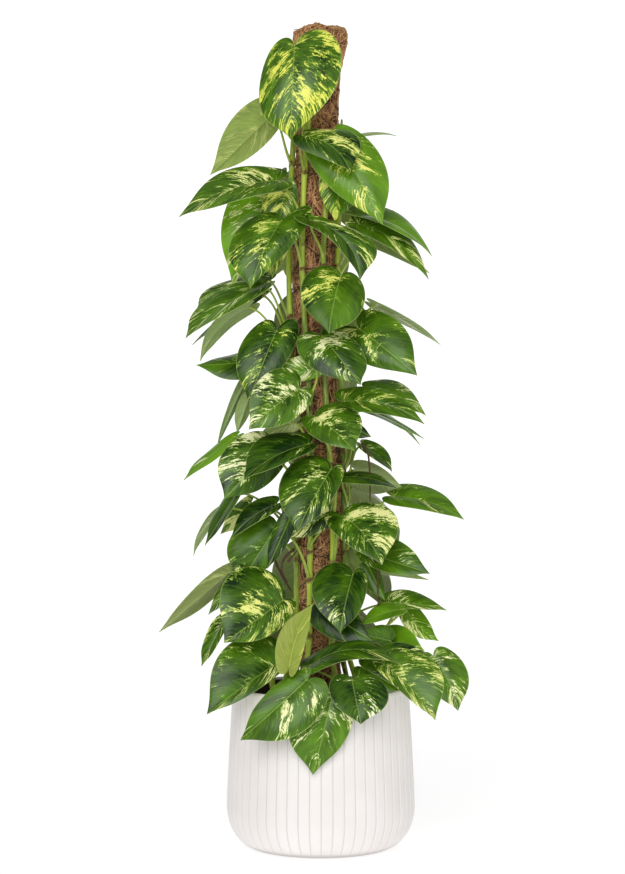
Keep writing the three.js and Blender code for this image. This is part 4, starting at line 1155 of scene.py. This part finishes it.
def petiole_path(leaf, start, outward, steps=16):
    """Rises from the stem and arches over to the blade's base."""
    base = leaf["base"]
    length = np.linalg.norm(base - start)
    axis = unit(leaf["tip"] - base)
    arrival = unit(unit(base - start) + 0.7 * axis)
    rise = start + 0.22 * length * outward + [0, 0, 0.3 * length]
    before = base - 0.32 * length * arrival
    t = np.linspace(0, 1, steps)[:, None]
    rest = 1 - t
    return rest ** 3 * start + 3 * rest ** 2 * t * rise + 3 * rest * t ** 2 * before + t ** 3 * base


def petiole_parts(leaf, start, outward, radius):
    """A channelled petiole with a sheath at its foot and a swollen joint below the blade."""
    path = petiole_path(leaf, start, outward)
    t = np.linspace(0, 1, len(path))
    swelling = 0.5 * np.exp(-(t / 0.13) ** 2) + 0.3 * np.exp(-((1 - t) / 0.1) ** 2)
    radii = radius * (1.25 - 0.35 * t + swelling)
    radii[-1] *= 0.7

    def channelled(turn, along):
        channel = 0.35 * np.exp(-(np.minimum(turn, 2 * math.pi - turn) / 0.5) ** 2)
        wings = 0.55 * max(0, 1 - along / 0.5) * np.exp(-((np.cos(turn) - 0.55) / 0.25) ** 2)
        return 1 - channel * min(1, 2 * along + 0.3) + wings

    return tube(path, radii, PETIOLE_SIDES, channelled, outward + [0, 0, 0.5])


class Gathered:
    """Collects points, faces and their looks for one vine. Slot 0 is leaf and slot 1 is stem."""

    def __init__(self):
        self.points, self.faces, self.slots = [], [], []
        self.vein, self.real, self.look, self.side = [], [], [], []
        self.count = 0

    def add(self, points, faces, slot, vein, real, look, side):
        """Takes in points and faces. A look that is one value holds for all the points."""
        self.faces += [[n + self.count for n in face] for face in faces]
        self.slots += [slot] * len(faces)
        size = len(points)
        self.points.append(points)
        for kept, value in ((self.vein, vein), (self.real, real), (self.look, look)):
            kept.append(np.broadcast_to(value, (size, 3)))
        self.side.append(np.broadcast_to(side, (size,)))
        self.count += size


def add_stem(parts, route, leaves, radius, brightest):
    """The stem, swollen and scarred at each node, with a blunt growing tip. It is brightest at one
    height and duller away from it."""
    heights = np.arange(route[0, 2] + 1, route[-1, 2], STEM_STEP)
    path = np.array([on_route(route, height) for height in heights])
    smooth = path.copy()
    for _ in range(3):
        smooth[1:-1] = (smooth[:-2] + 2 * smooth[1:-1] + smooth[2:]) / 4
    nodes = np.array([leaf["at"] for leaf in leaves])
    near = np.min(np.abs(heights[:, None] - nodes[None, :]), axis=1)
    swollen = np.exp(-(near / 9) ** 2)
    tip = between(0, 40, route[-1, 2] - heights)
    radii = radius * (0.94 + 0.28 * swollen) * (0.35 + 0.65 * tip)
    points, faces = tube(smooth, radii, STEM_SIDES)
    scar = np.concatenate([np.repeat(swollen, STEM_SIDES), [0, 0]])
    along = np.concatenate([np.repeat(heights, STEM_SIDES), heights[[0, -1]]])
    tone = 0.55 + 0.4 * np.cos((along - brightest) / BRIGHT_SPREAD)
    parts.add(points, faces, 1, 0, 0, np.stack([tone, scar, np.zeros(len(along))], 1), 0)


def vine_parts(route, bearing, leaves):
    """The points, faces and looks of one whole vine."""
    parts = Gathered()
    own = settings()
    turn = math.radians(bearing)
    outward = np.array([math.cos(turn), math.sin(turn), 0])
    faces, count = blade_faces()
    numbers = blade_numbering()[0]
    brightest = BRIGHTEST.get(bearing, BACK_BRIGHTEST)
    add_stem(parts, route, leaves, own.stem.stem_radius / MM, brightest)
    flipped = [face[::-1] for face in faces]
    for leaf in leaves:
        upper, lower, mapped, real = blade_points(leaf, own.leaf)
        look = blade_look(leaf)
        sheet = [gather(grid, count, numbers) for grid in (upper, lower, mapped, real, look)]
        side = np.repeat([0.0, 1.0], count)
        twice = [np.vstack([grid, grid]) for grid in sheet[2:]]
        turned = faces if leaf["facing"] > 0 else flipped
        parts.add(np.vstack(sheet[:2]), turned, 0, *twice, side)
        start = on_route(route, leaf["at"])
        points, rings = petiole_parts(leaf, start, outward, own.stem.petiole_radius / MM)
        shade = np.array([0.35 + 0.6 * leaf["tone"], 0, 0])
        parts.add(points, rings, 1, 0, 0, shade, 0)
    return parts


def leaf_marbling(tree, place, marbling):
    """How far each place is marbled, how far it lies in the marbling's halo, and the fine streaks.
    The pattern is patches 24 mm wide, streaks 12 mm long and flecks 1 mm wide, all drawn out along
    the veins, and its edges are ragged by a few millimetres."""
    math_node, ramp, noise = "ShaderNodeMath", "ShaderNodeMapRange", "ShaderNodeTexNoise"
    vector = "ShaderNodeVectorMath"
    rag = add_node(tree, noise, {"Vector": place, "Scale": 1 / 7, "Detail": 3.0}).outputs["Color"]
    centred = add_node(tree, vector, [rag, (0.5, 0.5, 0.5)], operation="SUBTRACT").outputs[0]
    pushed = add_node(tree, vector, [centred, (7.0, 16.0, 0.0), place], operation="MULTIPLY_ADD").outputs[0]
    patterns = []
    for wide, long, detail in ((24, 34, 2.0), (2.8, 12, 3.0), (1.2, 2.8, 2.0)):
        drawn = add_node(tree, vector, [pushed, (1 / wide, 1 / long, 1.0)], operation="MULTIPLY").outputs[0]
        patterns.append(add_node(tree, noise, {"Vector": drawn, "Scale": 1.0, "Detail": detail}).outputs[0])
    patch, streak, fleck = patterns
    whole = add_node(tree, math_node, [patch, 0.62], operation="MULTIPLY").outputs[0]
    for pattern, weight in ((streak, 0.46), (fleck, 0.28)):
        whole = add_node(tree, math_node, [pattern, weight, whole], operation="MULTIPLY_ADD").outputs[0]
    level = add_node(tree, ramp, [marbling, 0.0, 1.0, 0.87, 0.585], clamp=False).outputs[0]
    above = add_node(tree, math_node, [whole, level], operation="SUBTRACT").outputs[0]
    cream, halo = [
        add_node(tree, ramp, [above, low, high, 0.0, most], interpolation_type="SMOOTHSTEP").outputs[0]
        for low, high, most in ((0.0, 0.01, 1.0), (-0.055, -0.008, 0.75))]
    return cream, halo, streak


def leaf_green(tree, place, tone, streak):
    """The green itself: clouds 30 mm wide and streaks along the veins."""
    math_node, own = "ShaderNodeMath", settings().leaf
    cloud = add_node(tree, "ShaderNodeTexNoise", {"Vector": place, "Scale": 1 / 30, "Detail": 2.0})
    streaked = add_node(tree, math_node, [streak, 0.5, tone], operation="MULTIPLY_ADD").outputs[0]
    wander = add_node(tree, math_node, [cloud.outputs[0], 0.9, -0.84], operation="MULTIPLY_ADD").outputs[0]
    toned = add_node(tree, math_node, [streaked, wander], operation="ADD", use_clamp=True).outputs[0]
    return add_node(tree, "ShaderNodeMix", {
        0: toned, 6: linear(own.dark), 7: linear(own.bright)}, data_type="RGBA").outputs[2]


def leaf_lines(tree, across_mm, across, share):
    """How far each place is midrib, 2 mm wide, fainter lateral vein and pale margin."""
    math_node, ramp = "ShaderNodeMath", "ShaderNodeMapRange"
    off_rib = add_node(tree, math_node, [across_mm], operation="ABSOLUTE").outputs[0]
    rib = add_node(tree, ramp, [off_rib, 0.3, 1.2, 0.45, 0.0]).outputs[0]
    pairs = float(settings().leaf.vein_pairs)
    counted = add_node(tree, math_node, [share, pairs], operation="MULTIPLY").outputs[0]
    off_vein = add_node(tree, math_node, [counted, 0.5], operation="PINGPONG").outputs[0]
    line = add_node(tree, ramp, [off_vein, 0.0, 0.05, 0.16, 0.0]).outputs[0]
    off_middle = add_node(tree, math_node, [across], operation="ABSOLUTE").outputs[0]
    edge = add_node(tree, ramp, [off_middle, 0.97, 1.0, 0.0, 0.6]).outputs[0]
    return rib, line, edge


def leaf_material():
    """Living pothos leaf: waxy and smooth, marbled with cream and yellow blotches that run out along
    the veins, with a fine pale midrib and margin. The underside is duller and veiled in lines along
    the veins, grey on cool leaves and yellow on warm ones."""
    material, tree = new_material("waxy_marbled_leaf")
    own = settings().leaf
    math_node, ramp, mix = "ShaderNodeMath", "ShaderNodeMapRange", "ShaderNodeMix"
    vein, real, look = [
        add_node(tree, "ShaderNodeAttribute", attribute_name=name).outputs["Vector"]
        for name in ("vein", "vein_mm", "look")]
    under = add_node(tree, "ShaderNodeAttribute", attribute_name="underside").outputs["Fac"]
    share, across, seed = add_node(tree, "ShaderNodeSeparateXYZ", [vein]).outputs
    tone, marbling, warmth = add_node(tree, "ShaderNodeSeparateXYZ", [look]).outputs
    along_mm, across_mm = add_node(tree, "ShaderNodeSeparateXYZ", [real]).outputs[:2]
    apart = add_node(tree, math_node, [seed, 37.0], operation="MULTIPLY").outputs[0]
    shifted = add_node(tree, math_node, [along_mm, apart], operation="ADD").outputs[0]
    place = add_node(tree, "ShaderNodeCombineXYZ", [shifted, across_mm, seed]).outputs[0]
    cream, halo, streak = leaf_marbling(tree, place, marbling)
    marble = add_node(tree, mix, {
        0: warmth, 6: linear(own.cream), 7: linear(own.yellow)}, data_type="RGBA").outputs[2]
    rib, line, edge = leaf_lines(tree, across_mm, across, share)
    veiled = add_node(tree, mix, {
        0: warmth, 6: linear(own.under), 7: linear("#B4C24A")}, data_type="RGBA").outputs[2]
    drawn_veil = add_node(tree, ramp, [streak, 0.35, 0.65, 0.5, 0.72]).outputs[0]
    veil = add_node(tree, math_node, [under, drawn_veil], operation="MULTIPLY").outputs[0]
    layers = (
        (halo, linear("#98C03C")), (cream, marble), (rib, linear("#9DBB55")), (line, linear("#8FAE45")),
        (edge, linear("#B9CB7A")), (veil, veiled))
    colour = leaf_green(tree, place, tone, streak)
    for cover, shade in layers:
        colour = add_node(tree, mix, {0: cover, 6: colour, 7: shade}, data_type="RGBA").outputs[2]
    rough = add_node(tree, ramp, [under, 0.0, 1.0, 0.27, 0.5]).outputs[0]
    cells = add_node(tree, "ShaderNodeTexNoise", {"Vector": place, "Scale": 1 / 1.5, "Detail": 2.0})
    relief = add_node(tree, math_node, [cells.outputs[0], 0.3, line], operation="MULTIPLY_ADD").outputs[0]
    bump = add_node(tree, "ShaderNodeBump", {
        "Strength": 0.25, "Distance": 0.3 * MM, "Height": relief}).outputs[0]
    finish_material(tree, {
        "Base Color": colour, "Roughness": rough, "Normal": bump, "Specular IOR Level": 0.3})
    return material


def stem_material():
    """Fleshy green stem and petiole: smooth and satin, striped along, corky brown at the nodes."""
    material, tree = new_material("fleshy_green_stem")
    own = settings().stem
    look = add_node(tree, "ShaderNodeAttribute", attribute_name="look").outputs["Vector"]
    tone, scar = add_node(tree, "ShaderNodeSeparateXYZ", [look]).outputs[:2]
    place = add_node(tree, "ShaderNodeTexCoord").outputs["Object"]
    drawn = add_node(tree, "ShaderNodeMapping", {"Vector": place, "Scale": (1, 1, 0.15)}).outputs[0]
    stripe = add_node(tree, "ShaderNodeTexNoise", {"Vector": drawn, "Scale": 1 / (2.5 * MM), "Detail": 2.0})
    patch = add_node(tree, "ShaderNodeTexNoise", {"Vector": place, "Scale": 1 / (7 * MM), "Detail": 3.0})
    mix = "ShaderNodeMix"
    green = add_node(tree, mix, {0: tone, 6: linear("#2C4F1A"), 7: linear(own.green)}, data_type="RGBA")
    veil = add_node(tree, "ShaderNodeMapRange", [stripe.outputs[0], 0.45, 0.7, 0.0, 0.4]).outputs[0]
    striped = add_node(tree, mix, {0: veil, 6: green.outputs[2], 7: linear("#D8E07C")}, data_type="RGBA")
    worn = add_node(tree, "ShaderNodeMath", [scar, patch.outputs[0]], operation="MULTIPLY").outputs[0]
    corky = add_node(tree, "ShaderNodeMapRange", [worn, 0.3, 0.5, 0.0, 1.0]).outputs[0]
    colour = add_node(tree, mix, {0: corky, 6: striped.outputs[2], 7: linear(own.bark)}, data_type="RGBA")
    rough = add_node(tree, "ShaderNodeMapRange", [corky, 0.0, 1.0, 0.38, 0.8]).outputs[0]
    bump = add_node(tree, "ShaderNodeBump", {
        "Strength": 0.3, "Distance": 0.4 * MM, "Height": patch.outputs[0]}).outputs[0]
    finish_material(tree, {"Base Color": colour.outputs[2], "Roughness": rough, "Normal": bump})
    return material


class MakeVines(bpy.types.Operator):
    """Builds every stem with its petioles and marbled leaves in place of its solid."""

    bl_idname = "pothos.vines"
    bl_label = "Stems and leaves"

    def execute(self, context):
        materials = [leaf_material(), stem_material()]
        for name, bearing, route, leaves in all_vines():
            parts = vine_parts(route, bearing, leaves)
            piece = new_object(name + "_leafy", np.vstack(parts.points), parts.faces, materials)
            if len(piece.data.polygons) != len(parts.slots):
                raise RuntimeError(f"{name} has faces that are not sound")
            piece.data.polygons.foreach_set("material_index", parts.slots)
            add_attribute(piece.data, "vein", np.vstack(parts.vein))
            add_attribute(piece.data, "vein_mm", np.vstack(parts.real))
            add_attribute(piece.data, "look", np.vstack(parts.look))
            add_attribute(piece.data, "underside", np.concatenate(parts.side))
            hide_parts(name)
            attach(piece, "root")
        return {"FINISHED"}


# Aerial roots

def root_material():
    """Aerial root: dry brown cork, mottled, dull."""
    material, tree = new_material("dry_aerial_root")
    place = add_node(tree, "ShaderNodeTexCoord").outputs["Object"]
    patch = add_node(tree, "ShaderNodeTexNoise", {"Vector": place, "Scale": 1 / (4 * MM), "Detail": 3.0})
    colour = add_node(tree, "ShaderNodeMix", {
        0: patch.outputs[0], 6: linear("#3A2A1C"), 7: linear("#62482F")}, data_type="RGBA").outputs[2]
    bump = add_node(tree, "ShaderNodeBump", {
        "Strength": 0.5, "Distance": 0.3 * MM, "Height": patch.outputs[0]}).outputs[0]
    finish_material(tree, {"Base Color": colour, "Roughness": 0.8, "Normal": bump})
    return material


def clasping_root(start, bearing, way, wild):
    """From a node round the pole, close against the coir, and a little down."""
    reach = math.hypot(start[0] - pole_centre(start[2]), start[1])
    sweep = way * math.radians(wild.uniform(35, 80))
    drop = wild.uniform(-6, 26)
    t = np.linspace(0, 1, 9)
    angle = math.radians(bearing) + sweep * t
    height = start[2] - drop * t ** 1.4
    radius = reach + (POLE_RADIUS + 2.2 - reach) * between(0, 0.6, t) + 0.6 * np.sin(9 * t)
    return np.stack([pole_centre(height) + radius * np.cos(angle), radius * np.sin(angle), height], 1)


def root_paths():
    """Every aerial root's path, and how much thicker than a clasping root it is."""
    wild = np.random.default_rng(ROOT_SEED)
    paths = []
    for name, _, route, leaves in all_vines():
        if "low" in name:
            continue
        for leaf in leaves:
            start = on_route(route, leaf["at"] - 4)
            if start[2] > JOIN_POLE_AT + 10:
                own = math.degrees(math.atan2(start[1], start[0] - pole_centre(start[2])))
                paths += [(clasping_root(start, own, way, wild), 1) for way in (-1, 1)]
    for hanging in HANGING_ROOTS:
        knots = np.array([seen(place) for place in hanging])
        t = np.linspace(0, len(knots) - 1, 14)
        hung = np.stack([np.interp(t, range(len(knots)), knots[:, k]) for k in range(3)], 1)
        paths.append((hung, HANGING_THICKER))
    return paths


class MakeRoots(bpy.types.Operator):
    """Builds the aerial roots that clasp the pole and the few that hang free."""

    bl_idname = "pothos.roots"
    bl_label = "Aerial roots"

    def execute(self, context):
        radius = settings().stem.root_radius / MM
        points, faces, count = [], [], 0
        for path, thicker in root_paths():
            for _ in range(2):
                path[1:-1] = (path[:-2] + 2 * path[1:-1] + path[2:]) / 4
            radii = radius * thicker * np.linspace(1.15, 0.5, len(path))
            ring_points, rings = tube(path, radii, ROOT_SIDES)
            points.append(ring_points)
            faces += [[n + count for n in face] for face in rings]
            count += len(ring_points)
        piece = new_object("aerial_roots", np.vstack(points), faces, [root_material()])
        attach(piece, "root")
        return {"FINISHED"}


# Stage


def stage_material():
    """Plain white studio paper, lit so evenly that it gives off a little light of its own."""
    material, tree = new_material("white_studio_paper")
    stage = settings().stage
    finish_material(tree, {
        "Base Color": linear(stage.floor), "Roughness": 0.9, "Emission Color": linear("#FFFFFF"),
        "Emission Strength": stage.glow})
    return material


def add_sun(name, towards, width, strength):
    """A soft light that comes from far off: the wider it is, the softer its shadows."""
    light = bpy.data.lights.new(name, "SUN")
    light.angle = math.radians(width)
    light.energy = strength
    lamp = bpy.data.objects.new(name, light)
    lamp.rotation_euler = Vector(towards).to_track_quat("Z", "Y").to_euler()
    bpy.context.scene.collection.objects.link(lamp)


def add_camera(lens):
    """The view from the front that the rows of the leaves are set out from."""
    camera = bpy.data.cameras.new("front_view")
    camera.lens = lens
    viewer = bpy.data.objects.new("front_view", camera)
    viewer.location = (EYE_ACROSS * MM, -EYE_DISTANCE * MM, EYE_HEIGHT * MM)
    viewer.rotation_euler = (math.pi / 2, 0, 0)
    bpy.context.scene.collection.objects.link(viewer)
    bpy.context.scene.camera = viewer


def add_floor():
    """A floor that runs far out and sweeps up behind."""
    t = np.linspace(0, math.pi / 2, 13)
    start = FLOOR_REACH - SWEEP_RADIUS
    curve = np.stack([start + SWEEP_RADIUS * np.sin(t), SWEEP_RADIUS - SWEEP_RADIUS * np.cos(t)], 1)
    line = np.vstack([[[-FLOOR_REACH, 0]], curve, [[FLOOR_REACH, FLOOR_REACH]]])
    points = [[x, y, z] for y, z in line for x in (-FLOOR_REACH, FLOOR_REACH)]
    faces = [[2 * k, 2 * k + 1, 2 * k + 3, 2 * k + 2] for k in range(len(line) - 1)]
    floor = new_object("studio_floor", points, faces, [stage_material()])


def add_surroundings(ambient):
    """White all round where it is seen, and a soft even light on the plant."""
    world = bpy.data.worlds.new("white_studio")
    bpy.context.scene.world = world
    world.use_nodes = True
    tree = world.node_tree
    shell = tree.nodes["Background"]
    shell.inputs["Color"].default_value = linear("#FFFFFF")
    seen_straight = add_node(tree, "ShaderNodeLightPath").outputs["Is Camera Ray"]
    strength = add_node(tree, "ShaderNodeMapRange", [seen_straight, 0.0, 1.0, ambient, 1.0])
    tree.links.new(strength.outputs[0], shell.inputs["Strength"])


class MakeStage(bpy.types.Operator):
    """Sets the camera, the soft studio light and the pale floor that sweeps up behind."""

    bl_idname = "pothos.stage"
    bl_label = "Stage"

    def execute(self, context):
        stage = settings().stage
        add_camera(stage.lens)
        add_floor()
        add_surroundings(stage.ambient)
        add_sun("key", KEY_FROM, KEY_WIDTH, stage.key)
        add_sun("fill", FILL_FROM, FILL_WIDTH, stage.fill)
        bpy.context.scene.view_settings.view_transform = "Standard"
        return {"FINISHED"}


class PothosSettings(bpy.types.PropertyGroup):
    """All the groups of settings, one for each kind of piece."""

    pot: PointerProperty(name="Pot", description="The pot's sizes and glaze", type=PotSettings)
    soil: PointerProperty(name="Soil", description="The soil's crumbs and colour", type=SoilSettings)
    pole: PointerProperty(name="Pole", description="The coir pole's fibres", type=PoleSettings)
    leaf: PointerProperty(name="Leaf", description="The leaves' form and colours", type=LeafSettings)
    stem: PointerProperty(name="Stem", description="Stems, petioles and roots", type=StemSettings)
    stage: PointerProperty(name="Stage", description="The camera and the floor", type=StageSettings)


class PothosPanel(bpy.types.Panel):
    """The sidebar's list of settings and makers."""

    bl_idname = "VIEW3D_PT_pothos"
    bl_label = "Golden pothos"
    bl_space_type = "VIEW_3D"
    bl_region_type = "UI"
    bl_category = "Pothos"

    def draw(self, context):
        for group in ("pot", "soil", "pole", "leaf", "stem", "stage"):
            box = self.layout.box()
            box.label(text=group.capitalize())
            values = getattr(context.scene.pothos, group)
            for name in values.__annotations__:
                box.prop(values, name)
        for maker in MAKERS:
            self.layout.operator(maker.bl_idname)


SETTINGS = (
    PotSettings, SoilSettings, PoleSettings, LeafSettings, StemSettings, StageSettings, PothosSettings)
MAKERS = (MakeStage, MakePot, MakeSoil, MakePole, MakeVines, MakeRoots)


def register():
    """Makes the classes known and gives the scene its settings."""
    for each in SETTINGS + MAKERS + (PothosPanel,):
        bpy.utils.register_class(each)
    bpy.types.Scene.pothos = PointerProperty(type=PothosSettings)


def unregister():
    """Takes away what register added."""
    del bpy.types.Scene.pothos
    for each in reversed(SETTINGS + MAKERS + (PothosPanel,)):
        bpy.utils.unregister_class(each)


def main():
    """Makes every piece."""
    register()
    for maker in MAKERS:
        group, name = maker.bl_idname.split(".")
        getattr(getattr(bpy.ops, group), name)()


if __name__ == "__main__":
    main()
